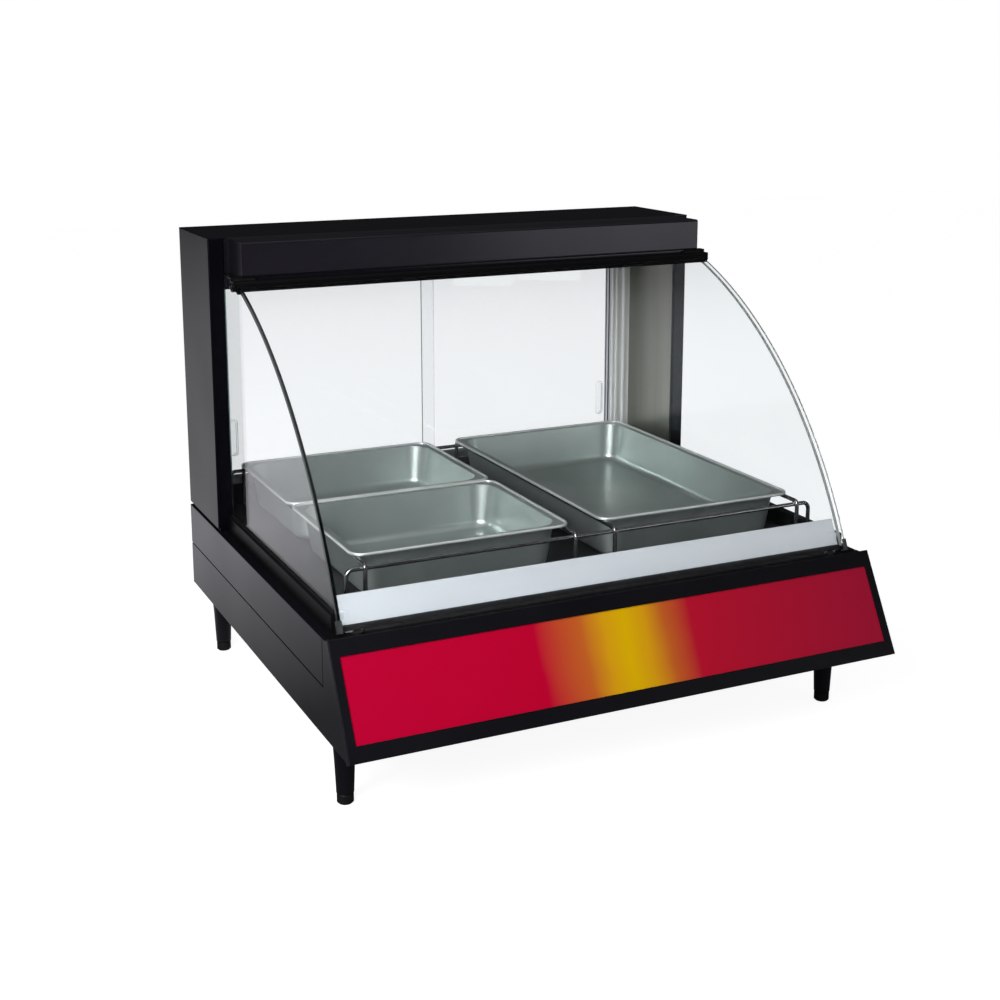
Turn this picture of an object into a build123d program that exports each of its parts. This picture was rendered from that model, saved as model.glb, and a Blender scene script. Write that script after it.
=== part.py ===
from build123d import *
import math
import os

# Countertop heated display case: a heated base on four legs, a portal with the overhead heater,
# flat side glasses, a top-hinged curved front glass, two sliding rear doors, a wire rack with pans.
# X runs across the case, -Y is the customer's side, Z is up and 0 where the feet stand.
# A "depth" is measured forwards from the rear face, so y_at(depth) turns it into Y.

# Pans that the case is built round
pan_length = 527.0
pan_width = 325.0
pan_depth = 65.0
pan_gap = 47.0
pan_rear_depth = 37.0
half_pan_gap = 2.0

# Driving sizes of the case
pan_side_room = 64.5
pan_front_room = 187.5
overall_height = 688.0
leg_height = 106.0
base_height = 132.0
sheet = 1.5
bend = 2.0
panel_gap = 2.2
seat_gap = 0.3
running_gap = 0.05

# Sign board that leans out along the front
sign_overhang = 2.0
sign_slant = 153.0
sign_tilt = 28.5
sign_thick = 12.0
sign_foot_rise = 4.3
sign_side_margin = 12.4
sign_top_margin = 22.8
sign_bottom_margin = 20.7
sign_lip = 2.0
sign_edge = 1.5
sign_rebate = 5.0

# Base panels and deck
cover_setback = 14.2
cover_seam_height = 66.5
cover_flange = 12.0
deck_side_margin = 35.0
deck_rear_depth = 37.0
deck_front_gap = 19.0
deck_thick = 3.0
deck_proud = 1.0
deck_edge_gap = 1.0
heater_thick = 1.5
heater_inset = 30.0
insulation_thick = 20.0
insulation_inset = 8.0
bulb_radius = 3.0
bulb_length = 90.0
bulb_depth = 90.0
riser_gap = 8.0
riser_height = 43.0
riser_lean = 20.0
riser_flange = 10.0

# Columns, header and canopy
column_width = 24.0
column_depth = 172.0
column_foot = 6.0
column_foot_inset = 4.0
header_height = 77.0
canopy_front_depth = 250.0
canopy_inset = 28.5
canopy_height = 49.5
cap_thick = 3.0
valance_drop = 16.0
valance_gap = 4.0

# Sliding doors at the rear
door_glass = 4.0
door_groove = 5.0
track_rear_depth = 3.0
track_front_depth = 25.0
outer_door_depth = 8.0
inner_door_depth = 19.0
sill_front_depth = 32.0
sill_height = 32.0
lower_track_height = 10.0
upper_track_height = 14.0
groove_floor = 2.0
groove_ceiling = 3.0
door_lift_room = 2.0
jamb_width = 37.5
jamb_groove = 14.0
door_overlap = 18.0
door_stop_gap = 3.0
pull_length = 60.0
pull_width = 14.0
pull_thick = 3.0
pull_edge = 8.0
pull_rise = 75.0

# Curved front glass and its hinge rail
glass_thick = 6.0
glass_overhang = 4.0
glass_radius = 686.0
hinge_below_canopy = 12.5
glass_foot_setback = 12.2
glass_foot_gap = 4.2
barrel_radius = 8.0
rail_overhang = 4.0
rail_reach = 15.0
rail_lip = 2.5
glass_bond = 0.1
pin_radius = 2.5
pin_length = 4.6
bracket_thick = 4.0
bracket_gap = 0.8
bracket_tab = 20.0
bracket_tab_reach = 18.0
bracket_step = 4.0
pad_radius = 7.0
pad_inset = 26.0
guard_height = 15.0
guard_reach = 5.0
guard_wall = 1.4

# Flat side glasses and the rails that hold them
side_glass_thick = 5.0
side_glass_inset = 25.0
side_glass_gap = 3.4
side_glass_hinge_gap = 12.0
side_glass_top_gap = 3.4
side_rail_width = 16.0
side_rail_height = 24.0
side_rail_setback = 17.0
side_rail_slot = 5.6
side_rail_slot_floor = 7.0

# Wire rack
wire = 6.0
weld = 0.5
rack_bend = 10.0
rack_shift = 10.0
rack_end_reach = 17.0
rack_rear_reach = 3.0
rack_front_reach = 25.5
rail_inset = 7.5
pan_floor_gap = 2.0

# Pans
pan_flange = 11.5
pan_skin = 1.2
pan_draft = 8.0
pan_corner = 30.0
pan_rim_corner = 20.0
pan_bottom_fillet = 12.0

# Overhead heat and light
reflector_rear_depth = 22.0
reflector_front_depth = 150.0
reflector_rise = 36.0
reflector_slope = 34.0
reflector_end_gap = 6.0
element_radius = 4.0
element_end_inset = 68.0
element_rise = 15.0
insulator_radius = 9.0
insulator_length = 26.0
guard_wire = 3.0
guard_wire_gap = 0.05
guard_hoops = 9
lamp_radius = 11.0
lamp_length = 120.0
lamp_cap_length = 22.0
lamp_setback = 39.0
lamp_place = 190.0
socket_size = 24.0
socket_thick = 16.0

# Rear controls
recess_inset = 73.0
recess_width = 230.0
recess_height = 84.0
recess_depth = 24.0
recess_flange = 10.0
rocker_width = 22.0
rocker_height = 30.0
rocker_swing = 20.0
rocker_pin_radius = 1.5
rocker_pin_length = 2.4
rocker_place = 78.0
lamp_rocker_place = 38.0
knob_radius = 18.0
knob_height = 16.0
knob_place = -58.0
knob_turn_gap = 0.5
shaft_radius = 3.0
shaft_reach = 10.0
pilot_radius = 6.0
pilot_place = -2.0
gland_radius = 11.0
gland_bore = 5.5
gland_place = -98.0
vent_slots = 9
vent_length = 120.0
vent_width = 4.0
vent_pitch = 9.0
vent_inset = 243.0
cover_inset = 1.6
screw_radius = 2.0
screw_head_radius = 3.6

# Legs and levelling feet
leg_inset = 33.5
leg_rear_depth = 48.0
leg_front_inset = 118.5
leg_top_radius = 16.0
leg_bottom_radius = 11.8
foot_radius = 11.2
foot_height = 14.0
foot_bevel = 1.2
stud_radius = 5.0
stud_length = 30.0
leg_stud_radius = 6.0
leg_stud_length = 12.0

# Places worked out from the sizes above
pan_pitch = pan_width + pan_gap
case_width = pan_pitch + pan_width + 2 * pan_side_room
overall_depth = pan_rear_depth + pan_length + pan_front_room
half_width = case_width / 2
sign_width = case_width + 2 * sign_overhang
base_bottom = leg_height
base_top = leg_height + base_height
seam_z = base_bottom + cover_seam_height
deck_top = base_top + deck_proud
column_inner = half_width - column_width
header_bottom = overall_height - header_height
canopy_bottom = overall_height - canopy_height
canopy_half = half_width - canopy_inset
hinge_z = canopy_bottom - hinge_below_canopy
tilt = math.radians(sign_tilt)
sign_foot_z = base_bottom + sign_foot_rise
sign_foot_depth = overall_depth + sign_edge * math.sin(tilt)
sill_top = base_top + sill_height
glass_foot_z = base_top + glass_foot_gap
liner_face = column_inner - sheet
liner_front_depth = column_depth - bend
half_pitch = pan_pitch / 2
base_edge_depth = sign_foot_depth - (base_top - sign_foot_z) * math.tan(tilt) - sign_thick / math.cos(tilt)
cover_front_depth = base_edge_depth - cover_setback
glass_foot_depth = base_edge_depth - glass_foot_setback
riser_foot_depth = glass_foot_depth - riser_gap
side_rail_front = glass_foot_depth - side_rail_setback
deck_front_depth = riser_foot_depth - deck_front_gap
deck_half_width = half_width - deck_side_margin
leg_front_depth = overall_depth - leg_front_inset
hinge_depth = canopy_front_depth
bracket_tab_rear = hinge_depth - bracket_tab_reach
bracket_tab_front = hinge_depth - bracket_step
side_glass_centre = half_width - side_glass_inset
glass_half_width = side_glass_centre + glass_overhang
rail_half_width = glass_half_width + rail_overhang
pad_place = glass_half_width - pad_inset
rack_half_width = half_pitch + pan_width / 2 + rack_end_reach
rack_rear_depth = pan_rear_depth + rack_rear_reach
rack_front_depth = pan_rear_depth + pan_length + rack_front_reach
rail_spread = pan_width - 2 * rail_inset
reflector_half_width = liner_face - reflector_end_gap
element_half_length = half_width - element_end_inset
guard_half_length = element_half_length - guard_wire
lamp_depth = canopy_front_depth - lamp_setback
recess_centre = recess_inset + recess_width / 2 - half_width
vent_place = half_width - vent_inset
pan_bottom = deck_top + pan_floor_gap
rim_top = pan_bottom + pan_depth
rim_seat = rim_top - pan_skin
rack_wire_top = rim_seat - seat_gap


def y_at(depth):
    return overall_depth / 2 - depth


def block(x_low, x_high, depth_rear, depth_front, z_low, z_high):
    size = (x_high - x_low, depth_front - depth_rear, z_high - z_low)
    centre = ((x_low + x_high) / 2, y_at((depth_rear + depth_front) / 2), (z_low + z_high) / 2)
    return Pos(*centre) * Box(*size)


def side_face(points):
    """A face in the side view, from (depth, z) points joined by straight lines."""
    return make_face(Polyline(*[(y_at(d), z) for d, z in points], close=True))


def across(face, x_low, x_high):
    """Stretches a side-view face across the case from one X to another."""
    return extrude(Plane.YZ.offset(x_low) * face, amount=x_high - x_low)


def rod_x(x_low, x_high, depth, z, radius):
    rod = Rot(0, 90, 0) * Cylinder(radius, x_high - x_low)
    return Pos((x_low + x_high) / 2, y_at(depth), z) * rod


def rod_y(x, depth_rear, depth_front, z, radius):
    rod = Rot(90, 0, 0) * Cylinder(radius, depth_front - depth_rear)
    return Pos(x, y_at((depth_rear + depth_front) / 2), z) * rod


def rod_z(x, depth, z_low, z_high, radius):
    return Pos(x, y_at(depth), (z_low + z_high) / 2) * Cylinder(radius, z_high - z_low)


def mirrored(shape):
    return mirror(shape, about=Plane.YZ)


def rounded(shape, axis, radius):
    """Rounds the straight edges that run along one axis."""
    return fillet(shape.edges().filter_by(axis), radius)


def one_of(*shapes):
    return Part() + list(shapes)


def sign_face_depth(z):
    return sign_foot_depth - (z - sign_foot_z) * math.tan(tilt)


def apron_depth(z):
    return sign_face_depth(z) - sign_thick / math.cos(tilt)


# Base


def base_tray():
    front_top, front_foot = apron_depth(base_top), apron_depth(base_bottom)
    outline = [
        (0, base_bottom),
        (0, seam_z),
        (cover_front_depth, seam_z),
        (cover_front_depth, base_top),
        (front_top, base_top),
        (front_foot, base_bottom),
    ]
    tray = across(side_face(outline), -half_width, half_width)
    floor, ceiling = base_bottom + sheet, base_top + 1
    back = sheet / math.cos(tilt)
    room = [
        (-1, floor),
        (-1, ceiling),
        (apron_depth(ceiling) - back, ceiling),
        (apron_depth(floor) - back, floor),
    ]
    tray = tray - across(side_face(room), sheet - half_width, half_width - sheet)
    start = cover_inset + sheet + seat_gap
    flange = block(half_width - cover_flange, half_width - sheet, start, cover_front_depth, seam_z - sheet, seam_z)
    tray = tray + flange + mirrored(flange)
    for x, depth in leg_places():
        tray = tray - rod_z(x, depth, base_bottom - 1, base_bottom + sheet + 1, leg_stud_radius)
    return tray


def side_cover():
    bottom, front = seam_z + panel_gap, cover_front_depth - panel_gap
    wall = block(half_width - sheet, half_width, 0, front, bottom, base_top)
    top = block(half_width - cover_flange, half_width, 0, front, base_top - sheet, base_top)
    cover = wall + top
    outer = cover.edges().filter_by(Axis.Y).sort_by(Axis.X)[-4:].sort_by(Axis.Z)[-1]
    return fillet(outer, sheet * 0.9)


def base_top_plate():
    edge = half_width - cover_flange
    plate = block(-edge, edge, sheet, cover_front_depth - panel_gap, base_top - sheet, base_top)
    front_edge = apron_depth(base_top) - sheet / math.cos(tilt)
    strip = block(
        sheet - half_width, half_width - sheet, cover_front_depth, front_edge, base_top - sheet, base_top
    )
    bridge = block(-edge, edge, cover_front_depth - 2 * panel_gap, cover_front_depth, base_top - sheet, base_top)
    window = block(
        -deck_half_width - deck_edge_gap,
        deck_half_width + deck_edge_gap,
        deck_rear_depth - deck_edge_gap,
        deck_front_depth + deck_edge_gap,
        base_top - 2 * sheet,
        base_top + 1,
    )
    return plate + strip + bridge - window


def deck_plate():
    plate = block(
        -deck_half_width, deck_half_width, deck_rear_depth, deck_front_depth, deck_top - deck_thick, deck_top
    )
    return fillet(plate.edges().filter_by(Axis.Z), 3)


def deck_tray():
    """Folded tray that hangs under the deck window and holds the heater and the insulation."""
    low = deck_top - deck_thick - heater_thick - insulation_thick - sheet
    high = base_top - sheet
    wide, rear, front = deck_half_width + 6, deck_rear_depth - 8, deck_front_depth + 8
    outer = block(-wide, wide, rear, front, low, high)
    inner = block(-wide + sheet, wide - sheet, rear + sheet, front - sheet, low + sheet, high + 1)
    notch = rod_y(bulb_x(), rear - 1, rear + 2 * sheet, bulb_z(), bulb_radius)
    return outer - inner - notch


def deck_heater():
    top = deck_top - deck_thick
    return block(
        heater_inset - deck_half_width,
        deck_half_width - heater_inset,
        deck_rear_depth + heater_inset,
        deck_front_depth - heater_inset,
        top - heater_thick,
        top,
    )


def bulb_x():
    return recess_centre + knob_place


def bulb_z():
    return deck_top - deck_thick - heater_thick - bulb_radius - seat_gap


def deck_insulation():
    top = deck_top - deck_thick - heater_thick
    slab = block(
        insulation_inset - deck_half_width,
        deck_half_width - insulation_inset,
        deck_rear_depth + insulation_inset,
        deck_front_depth - insulation_inset,
        top - insulation_thick,
        top,
    )
    rear = deck_rear_depth - 1
    room = bulb_radius + 2 * seat_gap
    channel = block(bulb_x() - room, bulb_x() + room, rear, bulb_depth + bulb_length, top - 2 * room, top + 1)
    return slab - channel


def deck_sensor():
    """Thermostat bulb under the deck, with its capillary tube down to the thermostat."""
    bulb = rod_y(bulb_x(), bulb_depth, bulb_depth + bulb_length - seat_gap, bulb_z(), bulb_radius)
    drop, body = deck_rear_depth - 17, recess_depth + 14
    under = recess_z() + recess_height / 2 + 3.5
    route = FilletPolyline(
        (bulb_x(), y_at(bulb_depth + 1), bulb_z()),
        (bulb_x(), y_at(drop), bulb_z()),
        (bulb_x(), y_at(drop), under),
        (bulb_x(), y_at(body), under),
        (bulb_x(), y_at(body), recess_z() + thermostat_half()),
        radius=6,
    )
    tube = sweep(Plane(route @ 0, z_dir=route % 0) * Circle(1), path=route)
    return bulb + tube


def front_riser():
    """Bright folded strip behind the foot of the front glass, leaning back with it."""
    top_z = base_top + riser_height
    top = riser_foot_depth - riser_lean
    rear = riser_foot_depth - riser_flange
    skin = sheet * math.hypot(1, riser_lean / riser_height)
    outline = [
        (riser_foot_depth, base_top),
        (top, top_z),
        (top - skin, top_z),
        (riser_foot_depth - skin - riser_lean * sheet / riser_height, base_top + sheet),
        (rear, base_top + sheet),
        (rear, base_top),
    ]
    half = side_glass_centre - side_rail_width / 2 - 0.4
    return across(side_face(outline), -half, half)


# Sign


def on_sign(shape):
    """Places a shape drawn flat, X across, Y up the slope and Z out of the face, on the board."""
    foot = Vector(0, y_at(sign_foot_depth), sign_foot_z)
    up = Vector(0, math.sin(tilt), math.cos(tilt))
    out = Vector(0, -math.cos(tilt), math.sin(tilt))
    board = Plane(origin=foot, x_dir=Vector(1, 0, 0), z_dir=out)
    slope = board.y_dir.dot(up)
    return board.location * (shape if slope > 0 else Rot(0, 0, 180) * shape)


def sign_box(side, bottom, top, z_low, z_high):
    """A slab on the board, kept in from its edges by three margins."""
    width, height = sign_width - 2 * side, sign_slant - bottom - top
    return Pos(0, bottom + height / 2, (z_low + z_high) / 2) * Box(width, height, z_high - z_low)


def sign_frame():
    body = sign_box(0, 0, 0, -sign_thick, 0)
    body = chamfer(body.faces().sort_by(Axis.Z)[-1].edges(), sign_edge)
    window = sign_box(sign_side_margin, sign_bottom_margin, sign_top_margin, -sign_thick, 1)
    pocket = sign_box(
        sign_side_margin - sign_rebate,
        sign_bottom_margin - sign_rebate,
        sign_top_margin - sign_rebate,
        -sign_thick,
        -sign_lip,
    )
    return on_sign(body - window - pocket)


def sign_insert():
    edge = sign_rebate - seat_gap
    return on_sign(
        sign_box(
            sign_side_margin - edge,
            sign_bottom_margin - edge,
            sign_top_margin - edge,
            seat_gap - sign_thick,
            -sign_lip,
        )
    )


# Columns, header and canopy


def column():
    foot_top = base_top + column_foot
    top = overall_height - sheet
    tube = block(column_inner, half_width, 0, column_depth, foot_top, top)
    tube = rounded(tube, Axis.Z, bend)
    inset = column_foot_inset
    foot = block(
        column_inner + inset, half_width - inset, inset, column_depth - inset, base_top, foot_top
    )
    hollow = block(
        column_inner + sheet,
        half_width - sheet,
        sheet,
        column_depth - sheet,
        foot_top + sheet,
        top - sheet,
    )
    return tube + foot - hollow


def inner_panel():
    return block(liner_face, column_inner, track_rear_depth, liner_front_depth, base_top, header_bottom)


def header_shell():
    """Folded hood between the columns, with the roof sheet that covers them too."""
    roof = block(-half_width, half_width, 0, column_depth, overall_height - sheet, overall_height)
    rear = block(-column_inner, column_inner, 0, sheet, header_bottom, overall_height - sheet)
    front = block(
        -column_inner, column_inner, column_depth - sheet, column_depth, header_bottom, overall_height - sheet
    )
    lip = block(-column_inner, column_inner, sheet, reflector_rear_depth, header_bottom, header_bottom + sheet)
    front_lip = block(
        -column_inner,
        column_inner,
        reflector_front_depth,
        column_depth - sheet,
        header_bottom,
        header_bottom + sheet,
    )
    shell = roof + rear + front + lip + front_lip
    sides = [e for e in shell.edges().filter_by(Axis.Y) if e.center().Z > overall_height - 0.1]
    return fillet(sides, sheet * 0.9)


def canopy_shell():
    """Folded channel along the front of the header, open to the rear, with a lip behind the hinge."""
    outer = block(-canopy_half + cap_thick, canopy_half - cap_thick, column_depth, canopy_front_depth,
                  canopy_bottom, overall_height)
    front = outer.edges().filter_by(Axis.X).group_by(Axis.Y)[0]
    outer = fillet(front, bend + sheet)
    inner = block(-half_width, half_width, column_depth - 1, canopy_front_depth - sheet,
                  canopy_bottom + sheet, overall_height - sheet)
    front_inner = inner.edges().filter_by(Axis.X).group_by(Axis.Y)[0]
    valance_half = canopy_half - bracket_tab - panel_gap
    valance_front = hinge_depth - barrel_radius - valance_gap
    valance = block(-valance_half, valance_half, valance_front - sheet, valance_front,
                    canopy_bottom - valance_drop, canopy_bottom + sheet / 2)
    return outer - fillet(front_inner, bend) + valance


def canopy_end_caps():
    cap = block(canopy_half - cap_thick, canopy_half, column_depth, canopy_front_depth,
                canopy_bottom, overall_height)
    cap = fillet(cap.edges().filter_by(Axis.X).group_by(Axis.Y)[0], bend + sheet)
    return one_of(cap, mirrored(cap))


# Overhead heat and light


def heat_reflector():
    rear, front = reflector_rear_depth, reflector_front_depth
    low, high = header_bottom + sheet, header_bottom + sheet + reflector_rise
    slope = reflector_slope
    skin = sheet
    outline = [
        (rear - 12, low),
        (rear, low),
        (rear + slope, high),
        (front - slope, high),
        (front, low),
        (front + 12, low),
        (front + 12, low + skin),
        (front + skin / 2, low + skin),
        (front - slope + skin / 2, high + skin),
        (rear + slope - skin / 2, high + skin),
        (rear - skin / 2, low + skin),
        (rear - 12, low + skin),
    ]
    return across(side_face(outline), -reflector_half_width, reflector_half_width)


def element_depth():
    return (reflector_rear_depth + reflector_front_depth) / 2


def infrared_element():
    z = header_bottom + element_rise
    return rod_x(-element_half_length, element_half_length, element_depth(), z, element_radius)


def element_insulators():
    """Ceramic ends that hold the heating rod, each on a short post up to the reflector."""
    z = header_bottom + element_rise
    start = element_half_length - insulator_length / 2
    ends = []
    for side in (-1, 1):
        low, high = sorted((side * start, side * (start + insulator_length)))
        barrel = rod_x(low, high, element_depth(), z, insulator_radius)
        post = rod_z(side * (start + insulator_length - 6), element_depth(), z,
                     header_bottom + sheet + reflector_rise, 4)
        bore = rod_x(-element_half_length, element_half_length, element_depth(), z, element_radius)
        ends.append(barrel + post - bore)
    return one_of(*ends)


def element_guard():
    """Short cross wires under the heating rod, spot-welded to two long ones and kept as single wires."""
    radius = guard_wire / 2
    z = header_bottom + radius + seat_gap
    rear, front = reflector_rear_depth, reflector_front_depth
    step = 2 * guard_half_length / (guard_hoops - 1)
    wires = []
    for i in range(guard_hoops):
        x = i * step - guard_half_length
        wires.append(rod_y(x, rear + 4, front - 4, z, radius))
    for depth in (rear + 4 + radius, front - 4 - radius):
        wires.append(rod_x(-reflector_half_width, reflector_half_width, depth, z + guard_wire + guard_wire_gap, radius))
    return one_of(*wires)


def display_lamps():
    z = canopy_bottom - lamp_radius - 2.5
    lamps = []
    for x in (-lamp_place, lamp_place):
        start = x - lamp_length / 2
        bulb = rod_x(start, start + lamp_length, lamp_depth, z, lamp_radius)
        bulb = fillet(bulb.edges().filter_by(GeomType.CIRCLE), lamp_radius * 0.6)
        cap = rod_x(start - lamp_cap_length, start + lamp_radius, lamp_depth, z, lamp_radius * 0.62)
        lamps.append(bulb + cap)
    return one_of(*lamps)


def lamp_sockets():
    z = canopy_bottom - lamp_radius - 2.5
    sockets = []
    for x in (-lamp_place, lamp_place):
        end = x - lamp_length / 2 - 6
        start = end - socket_thick
        body = block(start, end, lamp_depth - socket_size / 2, lamp_depth + socket_size / 2,
                     z - socket_size / 2, canopy_bottom)
        body = rounded(body, Axis.X, 3)
        bore = rod_x(start - 1, end + 1, lamp_depth, z, lamp_radius * 0.62)
        sockets.append(body - bore)
    return one_of(*sockets)


# Rear sill, tracks and sliding doors


def rear_sill():
    outer = block(-liner_face, liner_face, sheet, sill_front_depth, base_top, sill_top)
    inner = block(-half_width, half_width, 2 * sheet, sill_front_depth - sheet, base_top - 1, sill_top - sheet)
    return outer - inner


def grooves(x_low, x_high, z_low, z_high):
    cuts = []
    for depth in (outer_door_depth, inner_door_depth):
        cuts.append(block(x_low, x_high, depth - door_groove / 2, depth + door_groove / 2, z_low, z_high))
    return cuts


def lower_track():
    top = sill_top + lower_track_height
    body = block(-liner_face, liner_face, track_rear_depth, track_front_depth, sill_top, top)
    return body - grooves(-half_width, half_width, sill_top + groove_floor, top + 1)


def upper_track():
    low = header_bottom - upper_track_height
    body = block(-liner_face, liner_face, track_rear_depth, track_front_depth, low, header_bottom)
    return body - grooves(-half_width, half_width, low - 1, header_bottom - groove_ceiling)


def door_jamb():
    low, high = sill_top + lower_track_height, header_bottom - upper_track_height
    face = liner_face - jamb_width
    body = block(face, liner_face, track_rear_depth, track_front_depth, low, high)
    body = body - grooves(face - 1, face + jamb_groove, low - 1, high + 1)
    for x in (face + 7, face + 15, face + 25):
        body = body - block(x, x + 3, track_front_depth - 1.2, track_front_depth + 1, low - 1, high + 1)
    return body


def door_edge():
    return liner_face - jamb_width + jamb_groove - door_stop_gap


def door(depth, x_low, x_high):
    low = sill_top + groove_floor + seat_gap
    high = header_bottom - groove_ceiling - door_lift_room
    glass = block(x_low, x_high, depth - door_glass / 2, depth + door_glass / 2, low, high)
    return rounded(glass, Axis.Y, 4)


def door_pull(x, depth):
    """Oval finger cup bonded on the outer face of a door, with a shallow hollow."""
    rear = depth - door_glass / 2
    z = sill_top + pull_rise
    oval = Plane.XZ * Rot(0, 0, 90) * SlotOverall(pull_length, pull_width)
    hollow = Plane.XZ * Rot(0, 0, 90) * SlotOverall(pull_length - 8, pull_width - 8)
    body = Pos(x, y_at(rear), z) * extrude(oval, amount=-pull_thick)
    cut = Pos(x, y_at(rear) + 1, z) * extrude(hollow, amount=-pull_thick)
    return body - cut


# Glass


def foot_point():
    return glass_foot_depth, glass_foot_z


def arc_centre():
    """Centre of the glass's middle surface, which runs from the hinge axis to the glass's foot."""
    foot_d, foot_z = foot_point()
    span_d, span_z = foot_d - hinge_depth, foot_z - hinge_z
    chord = math.hypot(span_d, span_z)
    back = math.sqrt(glass_radius**2 - (chord / 2) ** 2)
    in_d, in_z = span_z / chord, -span_d / chord
    return hinge_depth + span_d / 2 + back * in_d, hinge_z + span_z / 2 + back * in_z


def arc_angle(depth, z):
    centre_d, centre_z = arc_centre()
    return math.atan2(z - centre_z, depth - centre_d)


def arc_point(radius, angle):
    centre_d, centre_z = arc_centre()
    return centre_d + radius * math.cos(angle), centre_z + radius * math.sin(angle)


def arc_edge(radius, start, end):
    points = [arc_point(radius, a) for a in (start, (start + end) / 2, end)]
    return ThreePointArc(*[(y_at(d), z) for d, z in points])


def arc_band(inner, outer, start, end):
    """Side-view face between two concentric arcs."""
    upper = arc_edge(outer, start, end)
    lower = arc_edge(inner, end, start)
    return make_face([upper, Line(upper @ 1, lower @ 0), lower, Line(lower @ 1, upper @ 0)])


def front_glass():
    start = arc_angle(hinge_depth, hinge_z) - barrel_radius / glass_radius
    end = arc_angle(*foot_point())
    band = arc_band(glass_radius - glass_thick / 2, glass_radius + glass_thick / 2, start, end)
    return across(band, -glass_half_width, glass_half_width)


def hinge_rail():
    """Round barrel with a channel that grips the top edge of the front glass."""
    axis = arc_angle(hinge_depth, hinge_z)
    lip = glass_thick / 2 + rail_lip
    start, end = axis - 0.5 * barrel_radius / glass_radius, axis - rail_reach / glass_radius
    jaw = across(arc_band(glass_radius - lip, glass_radius + lip, start, end), -rail_half_width, rail_half_width)
    barrel = rod_x(-rail_half_width, rail_half_width, hinge_depth, hinge_z, barrel_radius)
    slot_half = glass_thick / 2 + glass_bond
    slot_start = axis - (barrel_radius - glass_bond) / glass_radius
    slot = arc_band(glass_radius - slot_half, glass_radius + slot_half, slot_start, end - 0.01)
    slot = across(slot, -rail_half_width - 1, rail_half_width + 1)
    pins = rod_x(-rail_half_width - pin_length, rail_half_width + pin_length, hinge_depth, hinge_z, pin_radius)
    return barrel + jaw - slot + pins


def hinge_bracket():
    low = rail_half_width + bracket_gap
    high = low + bracket_thick
    ear = block(low, high, hinge_depth - barrel_radius, hinge_depth + barrel_radius, hinge_z, canopy_bottom)
    ear = ear + rod_x(low, high, hinge_depth, hinge_z, barrel_radius)
    ear = ear - block(low - 1, high + 1, bracket_tab_front, overall_depth, hinge_z + barrel_radius, canopy_bottom + 1)
    tab = block(canopy_half - bracket_tab, high, bracket_tab_rear, bracket_tab_front,
                canopy_bottom - 3, canopy_bottom)
    bore = rod_x(low - 1, high + 1, hinge_depth, hinge_z, pin_radius + running_gap)
    return ear + tab - bore


def corner_guards():
    """Small caps over the two lower corners of the front glass."""
    foot = arc_angle(*foot_point())
    wall = glass_thick / 2 + guard_wall
    top = foot + guard_height / glass_radius
    low_end = foot - guard_wall / glass_radius
    cap = across(arc_band(glass_radius - wall, glass_radius + wall, low_end, top),
                 glass_half_width - guard_reach, glass_half_width + guard_wall)
    room = arc_band(glass_radius - glass_thick / 2, glass_radius + glass_thick / 2, foot, top + 0.01)
    cap = cap - across(room, 0, glass_half_width)
    inner = arc_band(glass_radius - wall - 1, glass_radius - glass_thick / 2, low_end - 0.01, top + 0.01)
    cap = cap - across(inner, 0, side_glass_centre + side_glass_thick / 2 + 1)
    return one_of(cap, mirrored(cap))


def glass_pads():
    """Rubber buttons on the ledge that the shut front glass comes down on."""
    edge_z = arc_point(glass_radius - glass_thick / 2, arc_angle(*foot_point()))[1]
    pad = rod_z(pad_place, glass_foot_depth, base_top, edge_z - seat_gap, pad_radius)
    behind = riser_foot_depth + seat_gap
    pad = pad - block(0, half_width, behind - 50, behind, base_top - 1, glass_foot_z)
    return one_of(pad, mirrored(pad))


def side_glass():
    radius = glass_radius - glass_thick / 2 - side_glass_gap
    bottom = base_top + side_rail_slot_floor + seat_gap
    rear = column_depth + seat_gap
    top = canopy_bottom - side_glass_top_gap
    stop = hinge_depth - side_glass_hinge_gap
    centre_d, centre_z = arc_centre()
    high = math.acos((stop - centre_d) / radius)
    low = math.asin((bottom - centre_z) / radius)
    curve = arc_edge(radius, high, low)
    corners = [(rear, bottom), (rear, top), (stop, top)]
    line = Polyline(curve @ 1, *[(y_at(d), z) for d, z in corners], curve @ 0)
    face = make_face([curve, line])
    half = side_glass_thick / 2
    pane = across(face, side_glass_centre - half, side_glass_centre + half)
    return pane - rod_x(0, half_width, hinge_depth, hinge_z, barrel_radius + side_glass_gap)


def side_rail():
    low = side_glass_centre - side_rail_width / 2
    high = side_glass_centre + side_rail_width / 2
    body = block(low, high, column_depth, side_rail_front, base_top, base_top + side_rail_height)
    top_edges = body.edges().filter_by(Axis.Y).group_by(Axis.Z)[-1]
    body = chamfer(top_edges, 2)
    slot = block(side_glass_centre - side_rail_slot / 2, side_glass_centre + side_rail_slot / 2,
                 column_depth - 1, side_rail_front + 1,
                 base_top + side_rail_slot_floor, base_top + side_rail_height + 1)
    return body - slot


# Wire rack and pans


def bent_wire(points, radius):
    path = FilletPolyline(*points, radius=radius)
    return sweep(Plane(path @ 0, z_dir=path % 0) * Circle(wire / 2), path=path)


def rack_rails():
    """Front-to-back wires that carry the pans' rims; their ends turn down as legs."""
    z = rack_wire_top - wire / 2
    foot = deck_top + seat_gap
    rear, front = y_at(rack_rear_depth), y_at(rack_front_depth)
    wires = []
    for pan_x in (rack_shift - half_pitch, rack_shift + half_pitch):
        for x in (pan_x - rail_spread / 2, pan_x + rail_spread / 2):
            points = [(x, rear, foot), (x, rear, z), (x, front, z), (x, front, foot)]
            wires.append(bent_wire(points, wire - weld))
    return one_of(*wires)


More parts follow.
